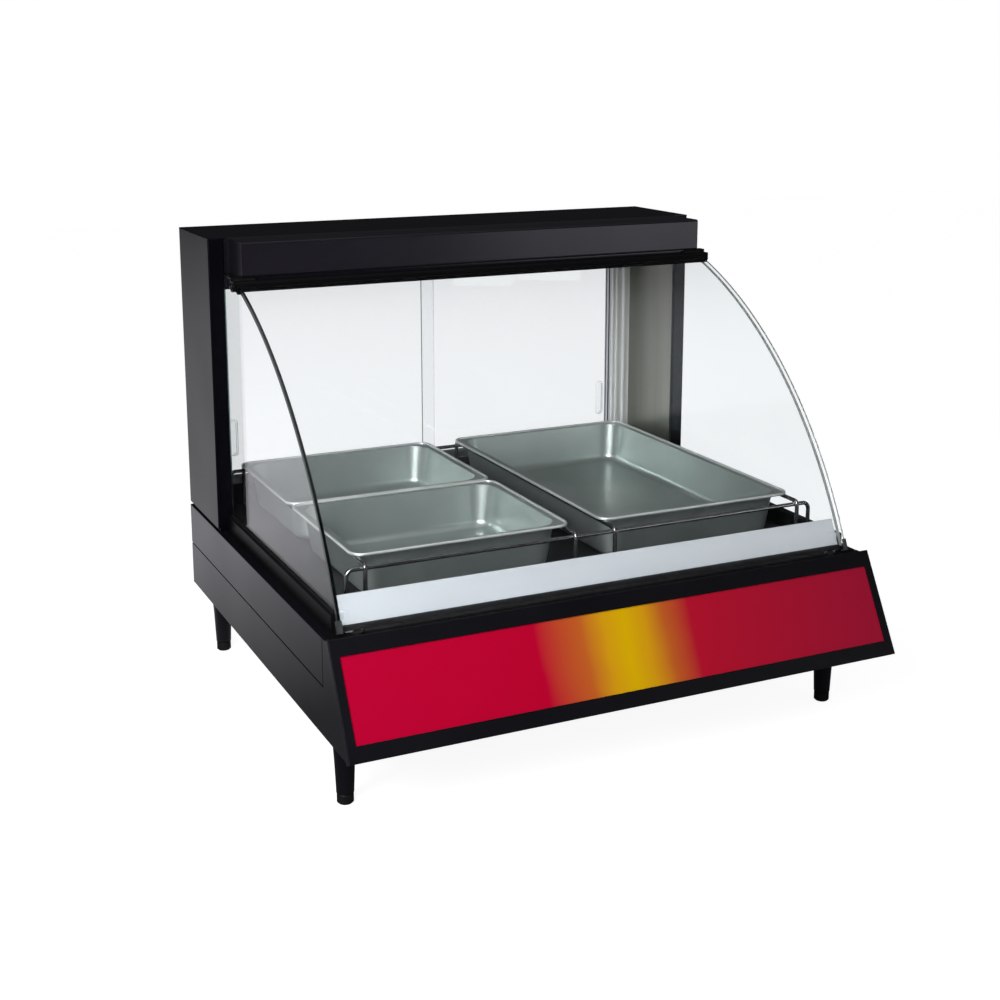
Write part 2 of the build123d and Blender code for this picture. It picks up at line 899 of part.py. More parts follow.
def rack_crossbars():
    """Cross wires welded inside the rails' bends, with their own ends turned down as legs."""
    z = rack_wire_top - wire / 2 - (wire - weld)
    foot = deck_top + seat_gap
    left, right = rack_shift - rack_half_width, rack_shift + rack_half_width
    wires = []
    for depth in (rack_rear_depth + wire - weld, rack_front_depth - wire + weld):
        y = y_at(depth)
        points = [(left, y, foot), (left, y, z), (right, y, z), (right, y, foot)]
        wires.append(bent_wire(points, rack_bend))
    return one_of(*wires)


def pan(x, rear_depth, length):
    """Drawn pan with drafted sides, a round-cornered hollow and a flat rim with a soft edge."""
    mid = y_at(rear_depth + length / 2)
    wide, long = pan_width - 2 * pan_flange, length - 2 * pan_flange
    draw = math.tan(math.radians(pan_draft))

    def well(inset, floor, ceiling):
        shrink = draw * (rim_top - floor) + inset
        low = Pos(x, mid, floor) * RectangleRounded(
            wide - 2 * shrink, long - 2 * shrink, pan_corner - draw * (rim_top - floor) * 0.5
        )
        grow = inset - draw * (ceiling - rim_top)
        high = Pos(x, mid, ceiling) * RectangleRounded(wide - 2 * grow, long - 2 * grow, pan_corner)
        body = loft([low, high])
        return fillet(body.faces().sort_by(Axis.Z)[0].edges(), pan_bottom_fillet)

    rim = extrude(RectangleRounded(pan_width, length, pan_rim_corner), pan_skin)
    rim = Pos(x, mid, rim_seat) * fillet(rim.faces().sort_by(Axis.Z)[-1].edges(), pan_skin * 0.6)
    outer = well(0, pan_bottom, rim_top)
    hollow = well(pan_skin, pan_bottom + pan_skin, rim_top + 1)
    return rim + outer - hollow


# Rear cover and controls


def recess_z():
    return (base_bottom + base_top) / 2 - 8


def thermostat_half():
    return 20.0


def rear_cover():
    low, high = base_bottom + sheet, base_top - sheet
    front = cover_inset + sheet
    plate = block(sheet - half_width, half_width - sheet, cover_inset, front, low, high)
    half = recess_width / 2
    window = block(recess_centre - half, recess_centre + half, 0, front + 1,
                   recess_z() - recess_height / 2, recess_z() + recess_height / 2)
    plate = plate - window
    slots = []
    for i in range(vent_slots):
        z = recess_z() + (i - (vent_slots - 1) / 2) * vent_pitch
        slot = Plane.XZ * SlotOverall(vent_length, vent_width)
        slots.append(Pos(vent_place, y_at(front + 1), z) * extrude(slot, amount=-4))
    for x, z in screw_places():
        slots.append(rod_y(x, 0, front + 1, z, screw_radius + running_gap))
    return plate - slots


def screw_places():
    inset = 12
    heights = (base_bottom + inset, base_top - inset)
    return [(x, z) for x in (inset - half_width, 0, half_width - inset) for z in heights]


def control_panel():
    """Folded tray let into the rear cover, so that the knob and the switches stay behind its face."""
    half, tall = recess_width / 2, recess_height / 2
    rim = cover_inset + sheet
    outer = block(recess_centre - half, recess_centre + half, rim, recess_depth + sheet,
                  recess_z() - tall, recess_z() + tall)
    inner = block(recess_centre - half + sheet, recess_centre + half - sheet, 0, recess_depth,
                  recess_z() - tall + sheet, recess_z() + tall - sheet)
    flange = block(recess_centre - half - recess_flange, recess_centre + half + recess_flange, rim, rim + sheet,
                   recess_z() - tall, recess_z() + tall + recess_flange / 2)
    flange = flange - block(recess_centre - half, recess_centre + half, 0, rim + 2 * sheet,
                            recess_z() - tall - 1, recess_z() + tall)
    panel = outer - inner + flange
    for place in (rocker_place, lamp_rocker_place):
        x = recess_centre + place
        gap = rocker_width / 2 + 1
        panel = panel - block(x - gap, x + gap, recess_depth - 1, recess_depth + sheet + 1,
                              recess_z() - rocker_height / 2 - 1, recess_z() + rocker_height / 2 + 1)
    holes = ((knob_place, shaft_radius + 1), (pilot_place, pilot_radius - 1), (gland_place, gland_radius - 3))
    for place, radius in holes:
        panel = panel - rod_y(recess_centre + place, recess_depth - 1, recess_depth + sheet + 1, recess_z(), radius)
    return panel


def rocker(place):
    """Rocker key on its pivot, tipped to off; it is drawn level and turned about the pivot."""
    x = recess_centre + place
    depth = recess_depth + 4
    radius = 30.0
    key = block(x - rocker_width / 2, x + rocker_width / 2, depth - 10, depth + 2,
                recess_z() - rocker_height / 2, recess_z() + rocker_height / 2)
    dish = rod_x(x - rocker_width, x + rocker_width, depth - 8 - radius, recess_z(), radius)
    hub = rod_x(x - rocker_width / 2, x + rocker_width / 2, depth, recess_z(), 4)
    reach = rocker_width / 2 + rocker_pin_length
    pins = rod_x(x - reach, x + reach, depth, recess_z(), rocker_pin_radius)
    pivot = Axis((x, y_at(depth), recess_z()), (1, 0, 0))
    return (key - dish + hub + pins).rotate(pivot, -rocker_swing / 2)


def switch_bodies():
    """Housings behind the two rockers, open at the front where the keys tip."""
    bodies = []
    for place in (rocker_place, lamp_rocker_place):
        x = recess_centre + place
        front = recess_depth + sheet
        shell = block(x - rocker_width / 2 - 3, x + rocker_width / 2 + 3, front, front + 26,
                      recess_z() - rocker_height / 2 - 4, recess_z() + rocker_height / 2 + 4)
        room = block(x - rocker_width / 2 - 0.4, x + rocker_width / 2 + 0.4, front - 1, front + 12,
                     recess_z() - rocker_height / 2 - 1, recess_z() + rocker_height / 2 + 1)
        reach = rocker_width / 2 + rocker_pin_length + running_gap
        bearing = rod_x(x - reach, x + reach, recess_depth + 4, recess_z(), rocker_pin_radius + running_gap)
        body = shell - room - bearing
        for blade in (-6, 6):
            body = body + block(x + blade - 0.4, x + blade + 0.4, front + 26, front + 34,
                                recess_z() - 3, recess_z() + 3)
        bodies.append(body)
    return one_of(*bodies)


def thermostat_body():
    x = recess_centre + knob_place
    front = recess_depth + sheet
    half = thermostat_half()
    case = block(x - half, x + half, front, front + 26, recess_z() - half, recess_z() + half)
    case = rounded(case, Axis.Y, 5)
    relief = rod_y(x, front - 1, front + 12, recess_z(), shaft_radius + running_gap)
    return case - relief


def thermostat_knob():
    """Knob with a pointer rib and a grip waist, carried on its own shaft."""
    x = recess_centre + knob_place
    front = recess_depth - knob_turn_gap
    skirt = rod_y(x, front - 4, front, recess_z(), knob_radius)
    grip = rod_y(x, front - knob_height, front - 4, recess_z(), knob_radius - 4)
    grip = fillet(grip.edges().filter_by(GeomType.CIRCLE).sort_by(Axis.Y)[-1], 1.5)
    knob = skirt + grip
    for i in range(12):
        turn = math.radians(30 * i)
        reach = knob_radius - 2.8
        knob = knob - rod_y(x + reach * math.cos(turn), front - knob_height - 1, front - 4,
                            recess_z() + reach * math.sin(turn), 2.4)
    rib = block(x - 1.2, x + 1.2, front - knob_height - 1, front - 3, recess_z(), recess_z() + knob_radius - 1)
    shaft = rod_y(x, front - 1, front + shaft_reach, recess_z(), shaft_radius)
    return knob + rib + shaft


def indicator_lamp():
    x = recess_centre + pilot_place
    lens = rod_y(x, recess_depth - 5, recess_depth, recess_z(), pilot_radius)
    lens = fillet(lens.edges().filter_by(GeomType.CIRCLE).sort_by(Axis.Y)[-1], 2.5)
    return lens + rod_y(x, recess_depth, recess_depth + 16, recess_z(), pilot_radius - 1)


def cord_gland():
    x = recess_centre + gland_place
    body = rod_y(x, recess_depth - 8, recess_depth, recess_z(), gland_radius)
    body = fillet(body.edges().filter_by(GeomType.CIRCLE).sort_by(Axis.Y)[-1], 2)
    neck = rod_y(x, recess_depth, recess_depth + sheet, recess_z(), gland_radius - 3)
    nut = rod_y(x, recess_depth + sheet, recess_depth + sheet + 6, recess_z(), gland_radius)
    bore = rod_y(x, recess_depth - 9, recess_depth + sheet + 7, recess_z(), gland_bore)
    return body + neck + nut - bore


def terminal_block():
    x, depth, z = recess_centre + gland_place, 90, base_bottom + sheet
    body = block(x - 9, x + 9, depth, depth + 60, z, z + 18)
    for i in range(5):
        body = body - rod_z(x, depth + 8 + 11 * i, z + 8, z + 19, 3)
    return body


def cover_screws():
    """Pan-head screws round the rear cover, one shape for all."""
    screws = []
    for x, z in screw_places():
        head = rod_y(x, seat_gap, cover_inset, z, screw_head_radius)
        screws.append(head + rod_y(x, cover_inset, cover_inset + 8, z, screw_radius))
    return one_of(*screws)


# Legs and feet


def leg_places():
    x = half_width - leg_inset
    return [(-x, leg_front_depth), (x, leg_front_depth), (-x, leg_rear_depth), (x, leg_rear_depth)]


def leg(x, depth):
    low, high = foot_height + seat_gap, leg_height
    mid = (leg_top_radius + leg_bottom_radius) / 2
    outline = make_face(
        Polyline(
            (0, low), (leg_bottom_radius - 1, low), (leg_bottom_radius, low + 1), (mid, low + 50),
            (leg_top_radius, high - 14), (leg_top_radius, high), (leg_stud_radius - running_gap, high),
            (leg_stud_radius - running_gap, high + leg_stud_length), (0, high + leg_stud_length),
            close=True,
        )
    )
    body = revolve(Plane.XZ * outline, Axis.Z)
    bore = Pos(0, 0, low + stud_length / 2) * Cylinder(stud_radius + running_gap, stud_length + 2)
    return Pos(x, y_at(depth), 0) * (body - bore)


def foot(x, depth):
    stud = foot_height + stud_length - 1
    outline = make_face(
        Polyline(
            (0, 0), (foot_radius - 2, 0), (foot_radius, 2), (foot_radius, foot_height - foot_bevel),
            (foot_radius - foot_bevel, foot_height), (stud_radius, foot_height), (stud_radius, stud), (0, stud),
            close=True,
        )
    )
    return Pos(x, y_at(depth), 0) * revolve(Plane.XZ * outline, Axis.Z)


pieces = {
    "base_tray": base_tray(),
    "side_covers": one_of(side_cover(), mirrored(side_cover())),
    "base_top_plate": base_top_plate(),
    "deck_plate": deck_plate(),
    "deck_heater": deck_heater(),
    "deck_insulation": deck_insulation(),
    "deck_tray": deck_tray(),
    "deck_sensor": deck_sensor(),
    "front_riser": front_riser(),
    "sign_frame": sign_frame(),
    "sign_insert": sign_insert(),
    "column_left": mirrored(column()),
    "column_right": column(),
    "inner_panels": one_of(inner_panel(), mirrored(inner_panel())),
    "header_shell": header_shell(),
    "canopy_shell": canopy_shell(),
    "canopy_end_caps": canopy_end_caps(),
    "heat_reflector": heat_reflector(),
    "infrared_element": infrared_element(),
    "element_insulators": element_insulators(),
    "element_guard": element_guard(),
    "display_lamps": display_lamps(),
    "lamp_sockets": lamp_sockets(),
    "rear_sill": rear_sill(),
    "lower_track": lower_track(),
    "upper_track": upper_track(),
    "door_jambs": one_of(door_jamb(), mirrored(door_jamb())),
    "door_left": door(inner_door_depth, -door_edge(), door_overlap / 2),
    "door_right": door(outer_door_depth, -door_overlap / 2, door_edge()),
    "door_left_pull": door_pull(-door_edge() + jamb_groove + pull_edge, inner_door_depth),
    "door_right_pull": door_pull(door_edge() - jamb_groove - pull_edge, outer_door_depth),
    "side_rails": one_of(side_rail(), mirrored(side_rail())),
    "side_glass_left": mirrored(side_glass()),
    "side_glass_right": side_glass(),
    "hinge_brackets": one_of(hinge_bracket(), mirrored(hinge_bracket())),
    "hinge_rail": hinge_rail(),
    "front_glass": front_glass(),
    "glass_corner_guards": corner_guards(),
    "glass_pads": glass_pads(),
    "rack_rails": rack_rails(),
    "rack_crossbars": rack_crossbars(),
    "full_pan": pan(rack_shift + half_pitch, pan_rear_depth, pan_length),
    "rear_cover": rear_cover(),
    "control_panel": control_panel(),
    "power_rocker": rocker(rocker_place),
    "lamp_rocker": rocker(lamp_rocker_place),
    "switch_bodies": switch_bodies(),
    "thermostat_body": thermostat_body(),
    "thermostat_knob": thermostat_knob(),
    "indicator_lamp": indicator_lamp(),
    "cord_gland": cord_gland(),
    "terminal_block": terminal_block(),
    "cover_screws": cover_screws(),
    "legs": one_of(*[leg(x, depth) for x, depth in leg_places()]),
}

half_length = (pan_length - half_pan_gap) / 2
left_pan_x = rack_shift - half_pitch
pieces["half_pan_rear"] = pan(left_pan_x, pan_rear_depth, half_length)
pieces["half_pan_front"] = pan(left_pan_x, pan_rear_depth + half_length + half_pan_gap, half_length)

foot_names = ("foot_front_left", "foot_front_right", "foot_rear_left", "foot_rear_right")
for name, (x, depth) in zip(foot_names, leg_places()):
    pieces[name] = foot(x, depth)

os.makedirs("parts", exist_ok=True)
for name, shape in pieces.items():
    export_step(shape, f"parts/{name}.step")
print(len(pieces), "nodes written")
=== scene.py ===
import math

import bmesh
import bpy
from mathutils import Matrix, Vector


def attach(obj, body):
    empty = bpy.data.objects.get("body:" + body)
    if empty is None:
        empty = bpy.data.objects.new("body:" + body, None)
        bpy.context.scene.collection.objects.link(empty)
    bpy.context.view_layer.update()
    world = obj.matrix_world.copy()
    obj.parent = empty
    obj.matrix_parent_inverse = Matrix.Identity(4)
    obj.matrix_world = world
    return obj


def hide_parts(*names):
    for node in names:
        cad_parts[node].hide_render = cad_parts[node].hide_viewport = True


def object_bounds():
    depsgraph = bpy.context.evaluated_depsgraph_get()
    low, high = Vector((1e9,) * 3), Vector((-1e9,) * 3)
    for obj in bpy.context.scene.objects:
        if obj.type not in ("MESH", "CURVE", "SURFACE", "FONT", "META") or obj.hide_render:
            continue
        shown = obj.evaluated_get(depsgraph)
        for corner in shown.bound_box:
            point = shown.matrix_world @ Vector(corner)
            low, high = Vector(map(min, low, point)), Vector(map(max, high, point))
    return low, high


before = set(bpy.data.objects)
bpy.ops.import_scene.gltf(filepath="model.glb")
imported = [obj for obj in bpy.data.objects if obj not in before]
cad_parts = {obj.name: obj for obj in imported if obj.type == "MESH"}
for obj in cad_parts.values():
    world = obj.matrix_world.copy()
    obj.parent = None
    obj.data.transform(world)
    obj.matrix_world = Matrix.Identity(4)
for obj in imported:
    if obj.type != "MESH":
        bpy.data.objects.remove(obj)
cadLow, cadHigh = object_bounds()
print("frame loaded:", len(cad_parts), "nodes")


# helpers for materials

def newMaterial(name):
    material = bpy.data.materials.new(name)
    material.use_nodes = True
    return material, material.node_tree, material.node_tree.nodes["Principled BSDF"]


def partCoords(tree, stretch=(1, 1, 1)):
    # object coordinates are metres in the part's own frame
    coords = tree.nodes.new("ShaderNodeTexCoord")
    mapping = tree.nodes.new("ShaderNodeMapping")
    mapping.inputs["Scale"].default_value = stretch
    tree.links.new(coords.outputs["Object"], mapping.inputs["Vector"])
    return mapping.outputs["Vector"]


def axisOf(tree, axis):
    split = tree.nodes.new("ShaderNodeSeparateXYZ")
    tree.links.new(partCoords(tree), split.inputs[0])
    return split.outputs[axis]


def noiseField(tree, scale, detail=3.0, stretch=(1, 1, 1), grit=0.55):
    noise = tree.nodes.new("ShaderNodeTexNoise")
    noise.inputs["Scale"].default_value = scale
    noise.inputs["Detail"].default_value = detail
    noise.inputs["Roughness"].default_value = grit
    tree.links.new(partCoords(tree, stretch), noise.inputs["Vector"])
    return noise.outputs["Fac"]


def spreadOf(tree, source, low, high, fromLow=0.3, fromHigh=0.7):
    # most noise lies between 0.3 and 0.7, which this spreads from low to high
    spread = tree.nodes.new("ShaderNodeMapRange")
    spread.inputs["From Min"].default_value = fromLow
    spread.inputs["From Max"].default_value = fromHigh
    spread.inputs["To Min"].default_value = low
    spread.inputs["To Max"].default_value = high
    tree.links.new(source, spread.inputs["Value"])
    return spread.outputs["Result"]


def mathOf(tree, operation, first, second):
    node = tree.nodes.new("ShaderNodeMath")
    node.operation = operation
    for socket, value in ((node.inputs[0], first), (node.inputs[1], second)):
        if isinstance(value, (int, float)):
            socket.default_value = value
        else:
            tree.links.new(value, socket)
    return node.outputs[0]


def blendColours(tree, factor, first, second):
    mix = tree.nodes.new("ShaderNodeMix")
    mix.data_type = "RGBA"
    for socket, colour in ((mix.inputs[6], first), (mix.inputs[7], second)):
        if isinstance(colour, tuple):
            socket.default_value = (*colour[:3], 1)
        else:
            tree.links.new(colour, socket)
    tree.links.new(factor, mix.inputs[0])
    return mix.outputs[2]


def darker(colour, share):
    return tuple(part * share for part in colour)


def bumpFrom(tree, shader, height, depth):
    bump = tree.nodes.new("ShaderNodeBump")
    bump.inputs["Strength"].default_value = 1.0
    bump.inputs["Distance"].default_value = depth
    tree.links.new(height, bump.inputs["Height"])
    tree.links.new(bump.outputs["Normal"], shader.inputs["Normal"])


mottling = {"toneDetail": 4.0, "hazeScale": 0.37, "hazeDetail": 2.0, "coatRoughness": 0.1}


def finishFrom(name, look):
    # two tones mottled together, a roughness range and a fine bump
    material, tree, shader = newMaterial(name)
    stretch = look.get("stretch", (1, 1, 1))
    mottle = noiseField(tree, look["scale"], mottling["toneDetail"], stretch)
    tones = blendColours(tree, spreadOf(tree, mottle, 0, 1), look["tone"], look["shade"])
    tree.links.new(tones, shader.inputs["Base Color"])
    haze = noiseField(tree, look["scale"] * mottling["hazeScale"], mottling["hazeDetail"], stretch)
    tree.links.new(spreadOf(tree, haze, *look["roughness"]), shader.inputs["Roughness"])
    shader.inputs["Metallic"].default_value = look.get("metallic", 0.0)
    shader.inputs["Coat Weight"].default_value = look.get("coat", 0.0)
    shader.inputs["Coat Roughness"].default_value = mottling["coatRoughness"]
    shader.inputs["Specular IOR Level"].default_value = look.get("specular", 0.5)
    if "tint" in look:
        shader.inputs["Specular Tint"].default_value = (*look["tint"], 1)
    if "sheen" in look:
        shader.inputs["Sheen Weight"].default_value = look["sheen"]
    grain = noiseField(tree, look["grainScale"], stretch=look.get("grainStretch", stretch))
    bumpFrom(tree, shader, grain, look["grainDepth"])
    return material


# tones are linear colours, scales are per metre and the grain's depth is in metres
finishes = {
    "blackPaint": {
        "tone": (0.0036, 0.0032, 0.0052), "shade": (0.0048, 0.0044, 0.0068), "scale": 9.0,
        "roughness": (0.30, 0.38), "grainScale": 900.0, "grainDepth": 0.00004, "specular": 0.3,
        "tint": (0.94, 0.91, 1.0),
    },
    # the canopy's black paint, painted lighter than the same paint on the case as painted light on its front
    "canopyBlackPaintedLight": {
        "tone": (0.0082, 0.0074, 0.0112), "shade": (0.0098, 0.0090, 0.0130), "scale": 9.0,
        "roughness": (0.20, 0.26), "grainScale": 900.0, "grainDepth": 0.00004, "specular": 0.5,
        "tint": (0.94, 0.91, 1.0),
    },
    # the columns' black paint, painted darker than the same paint on the case as painted shade on their
    # fronts
    "columnBlackPaintedShade": {
        "tone": (0.0016, 0.0014, 0.0030), "shade": (0.0024, 0.0022, 0.0040), "scale": 9.0,
        "roughness": (0.30, 0.38), "grainScale": 900.0, "grainDepth": 0.00004, "specular": 0.10,
        "tint": (0.94, 0.91, 1.0),
    },
    "railBlack": {
        "tone": (0.0030, 0.0032, 0.0036), "shade": (0.0042, 0.0044, 0.0050), "scale": 12.0,
        "roughness": (0.42, 0.52), "grainScale": 900.0, "grainDepth": 0.00004, "specular": 0.12,
    },
    "deckBlack": {
        "tone": (0.012, 0.012, 0.013), "shade": (0.02, 0.02, 0.021), "scale": 14.0,
        "roughness": (0.38, 0.52), "grainScale": 700.0, "grainDepth": 0.00008,
    },
    "brushedSteel": {
        "tone": (0.225, 0.226, 0.192), "shade": (0.28, 0.282, 0.245), "scale": 30.0, "stretch": (1, 1, 0.04),
        "roughness": (0.29, 0.40), "metallic": 0.85, "grainScale": 1400.0, "grainStretch": (1, 1, 0.02),
        "grainDepth": 0.00003,
    },
    "panSteel": {
        "tone": (0.36, 0.405, 0.385), "shade": (0.46, 0.505, 0.485), "scale": 7.0,
        "roughness": (0.29, 0.38), "metallic": 0.8, "grainScale": 260.0, "grainDepth": 0.00004,
    },
    # the pans' own steel, painted lighter for the rim beads as a painted highlight
    "rimSteelPaintedHighlight": {
        "tone": (0.66, 0.68, 0.66), "shade": (0.76, 0.78, 0.76), "scale": 16.0,
        "roughness": (0.29, 0.36), "metallic": 0.7, "grainScale": 600.0, "grainDepth": 0.00003,
    },
    "brightStrip": {
        "tone": (0.56, 0.585, 0.615), "shade": (0.62, 0.645, 0.675), "scale": 22.0, "stretch": (0.05, 1, 1),
        "roughness": (0.30, 0.40), "metallic": 0.35, "grainScale": 1300.0, "grainStretch": (0.02, 1, 1),
        "grainDepth": 0.00002,
    },
    "trackAluminium": {
        "tone": (0.58, 0.59, 0.60), "shade": (0.68, 0.69, 0.70), "scale": 18.0, "stretch": (0.06, 1, 1),
        "roughness": (0.29, 0.40), "metallic": 1.0, "grainScale": 1500.0, "grainStretch": (0.02, 1, 1),
        "grainDepth": 0.00003,
    },
    "jambAluminium": {
        "tone": (0.50, 0.51, 0.51), "shade": (0.60, 0.61, 0.61), "scale": 18.0, "stretch": (1, 1, 0.06),
        "roughness": (0.29, 0.40), "metallic": 1.0, "grainScale": 1500.0, "grainStretch": (1, 1, 0.02),
        "grainDepth": 0.00003,
    },
    "fluteAluminium": {
        "tone": (0.60, 0.60, 0.59), "shade": (0.70, 0.70, 0.69), "scale": 18.0, "stretch": (1, 1, 0.06),
        "roughness": (0.30, 0.42), "metallic": 0.2, "grainScale": 1500.0, "grainStretch": (1, 1, 0.02),
        "grainDepth": 0.00003,
    },
    "galvanised": {
        "tone": (0.42, 0.43, 0.44), "shade": (0.56, 0.57, 0.58), "scale": 60.0,
        "roughness": (0.34, 0.52), "metallic": 1.0, "grainScale": 180.0, "grainDepth": 0.00004,
    },
    "wireChrome": {
        "tone": (0.34, 0.35, 0.35), "shade": (0.42, 0.43, 0.43), "scale": 40.0,
        "roughness": (0.18, 0.26), "metallic": 1.0, "grainScale": 500.0, "grainDepth": 0.00002,
    },
    "screwSteel": {
        "tone": (0.40, 0.40, 0.41), "shade": (0.52, 0.52, 0.53), "scale": 120.0,
        "roughness": (0.29, 0.38), "metallic": 1.0, "grainScale": 1400.0, "grainDepth": 0.00003,
    },
    "capBrass": {
        "tone": (0.55, 0.40, 0.18), "shade": (0.66, 0.50, 0.26), "scale": 60.0,
        "roughness": (0.29, 0.40), "metallic": 1.0, "grainScale": 900.0, "grainDepth": 0.00003,
    },
    "rodSheath": {
        "tone": (0.16, 0.12, 0.10), "shade": (0.26, 0.21, 0.18), "scale": 26.0, "stretch": (0.4, 1, 1),
        "roughness": (0.40, 0.60), "metallic": 0.9, "grainScale": 600.0, "grainDepth": 0.00004,
    },
    "ceramic": {
        "tone": (0.78, 0.76, 0.70), "shade": (0.86, 0.85, 0.81), "scale": 35.0,
        "roughness": (0.29, 0.38), "coat": 0.4, "grainScale": 420.0, "grainDepth": 0.00004,
    },
    "heaterFoil": {
        "tone": (0.62, 0.62, 0.63), "shade": (0.72, 0.72, 0.73), "scale": 24.0,
        "roughness": (0.29, 0.42), "metallic": 1.0, "grainScale": 90.0, "grainDepth": 0.0002,
    },
    "insulationWool": {
        "tone": (0.50, 0.43, 0.25), "shade": (0.66, 0.60, 0.42), "scale": 90.0,
        "roughness": (0.85, 0.95), "sheen": 0.3, "grainScale": 320.0, "grainDepth": 0.0006,
    },
    "rubberBlack": {
        "tone": (0.006, 0.006, 0.0065), "shade": (0.010, 0.010, 0.0105), "scale": 50.0,
        "roughness": (0.50, 0.62), "grainScale": 800.0, "grainDepth": 0.00005, "specular": 0.2,
    },
    "guardGrey": {
        "tone": (0.035, 0.04, 0.04), "shade": (0.05, 0.055, 0.055), "scale": 50.0,
        "roughness": (0.30, 0.42), "grainScale": 800.0, "grainDepth": 0.00004,
    },
    "frameGloss": {
        "tone": (0.0036, 0.0034, 0.0052), "shade": (0.0048, 0.0046, 0.0068), "scale": 12.0,
        "roughness": (0.29, 0.36), "grainScale": 900.0, "grainDepth": 0.00003, "specular": 0.35,
        "tint": (0.94, 0.91, 1.0),
    },
    "switchBlack": {
        "tone": (0.013, 0.013, 0.014), "shade": (0.018, 0.018, 0.019), "scale": 60.0,
        "roughness": (0.18, 0.26), "coat": 0.3, "grainScale": 900.0, "grainDepth": 0.00002,
    },
    "switchRed": {
        "tone": (0.50, 0.012, 0.010), "shade": (0.58, 0.02, 0.014), "scale": 60.0,
        "roughness": (0.14, 0.24), "coat": 0.4, "grainScale": 900.0, "grainDepth": 0.00002,
    },
    "knobBlack": {
        "tone": (0.015, 0.015, 0.017), "shade": (0.024, 0.024, 0.026), "scale": 60.0,
        "roughness": (0.36, 0.48), "grainScale": 1200.0, "grainDepth": 0.00005,
    },
    "housingPlastic": {
        "tone": (0.06, 0.06, 0.065), "shade": (0.08, 0.08, 0.085), "scale": 60.0,
        "roughness": (0.40, 0.55), "grainScale": 900.0, "grainDepth": 0.00005,
    },
    "pilotAmber": {
        "tone": (0.85, 0.34, 0.02), "shade": (0.95, 0.45, 0.04), "scale": 90.0,
        "roughness": (0.08, 0.16), "coat": 0.6, "grainScale": 400.0, "grainDepth": 0.00006,
    },
    "markWhite": {
        "tone": (0.78, 0.78, 0.78), "shade": (0.84, 0.84, 0.84), "scale": 90.0,
        "roughness": (0.40, 0.50), "grainScale": 900.0, "grainDepth": 0.00002,
    },
    "markBlack": {
        "tone": (0.012, 0.012, 0.013), "shade": (0.02, 0.02, 0.021), "scale": 90.0,
        "roughness": (0.45, 0.60), "grainScale": 900.0, "grainDepth": 0.00002,
    },
    # pale tone of the right-hand ground glass edges, painted light
    "groundGlassPaintedLight": {
        "tone": (0.17, 0.19, 0.185), "shade": (0.24, 0.26, 0.255), "scale": 60.0,
        "roughness": (0.35, 0.50), "grainScale": 700.0, "grainDepth": 0.00003,
    },
}
materials = {name: finishFrom(name, look) for name, look in finishes.items()}

signLook = {
    "red": (0.44, 0.0008, 0.029), "warmRed": (0.50, 0.001, 0.028), "ember": (0.56, 0.12, 0.019),
    "orange": (0.70, 0.34, 0.006), "yellow": (0.73, 0.44, 0.001), "wine": (0.50, 0.007, 0.029),
    "deepRedPaintedShade": (0.42, 0.010, 0.042), "halfBoard": 0.415, "peak": -0.006, "orangeReach": 0.031,
    "emberReach": 0.063, "redReach": 0.130, "wineReach": 0.104, "drift": 0.003, "driftScale": 14.0,
    "driftDetail": 2.0, "roughness": (0.20, 0.26), "hazeScale": 6.0, "specular": 0.07, "grainScale": 500.0,
    "grainDepth": 0.00002,
}


def signMaterial(look):
    # the board's colour runs along X: red, a yellow glow at the middle, then a deeper red at the right end,
    # which is partly painted shade
    material, tree, shader = newMaterial("signGradient")
    shader.inputs["Specular IOR Level"].default_value = look["specular"]
    half, peak = look["halfBoard"], look["peak"]
    sway = noiseField(tree, look["driftScale"], look["driftDetail"])
    drift = spreadOf(tree, sway, -look["drift"], look["drift"])
    place = mathOf(tree, "ADD", axisOf(tree, 0), drift)
    ramp = tree.nodes.new("ShaderNodeValToRGB")
    stops = (
        (-half, "red"), (peak - look["redReach"], "warmRed"), (peak - look["emberReach"], "ember"),
        (peak - look["orangeReach"], "orange"), (peak, "yellow"), (peak + look["orangeReach"], "orange"),
        (peak + look["emberReach"], "ember"), (peak + look["wineReach"], "wine"), (half, "deepRedPaintedShade"),
    )
    bands = ramp.color_ramp.elements
    while len(bands) < len(stops):
        bands.new(0.5)
    for band, (x, tone) in zip(bands, stops):
        band.position = (x + half) / (2 * half)
        band.color = (*look[tone], 1)
    tree.links.new(spreadOf(tree, place, 0, 1, -half, half), ramp.inputs[0])
    tree.links.new(ramp.outputs[0], shader.inputs["Base Color"])
    haze = noiseField(tree, look["hazeScale"])
    tree.links.new(spreadOf(tree, haze, *look["roughness"]), shader.inputs["Roughness"])
    bumpFrom(tree, shader, noiseField(tree, look["grainScale"]), look["grainDepth"])
    return material


# the door panes' edge tone is the ground edge tone painted pale as painted light; edge is the dark tone of
# the other panes
paneLook = {
    "body": (0.976, 0.995, 1.0), "film": (0.95, 0.97, 0.975), "glint": (0.86, 1.0, 0.94),
    "edge": (0.035, 0.065, 0.062), "paleEdgePaintedLight": (0.40, 0.52, 0.50), "edgeRoughness": (0.29, 0.38),
    "edgeTurn": 0.7, "frostScale": 5.0, "grindScale": 240.0, "grindShade": 0.8, "streakScale": 11.0,
    "streakDetail": 2.0, "streakStretch": (1, 1, 0.3), "streakShade": 0.994, "ior": 1.45, "sideIor": 1.18,
}


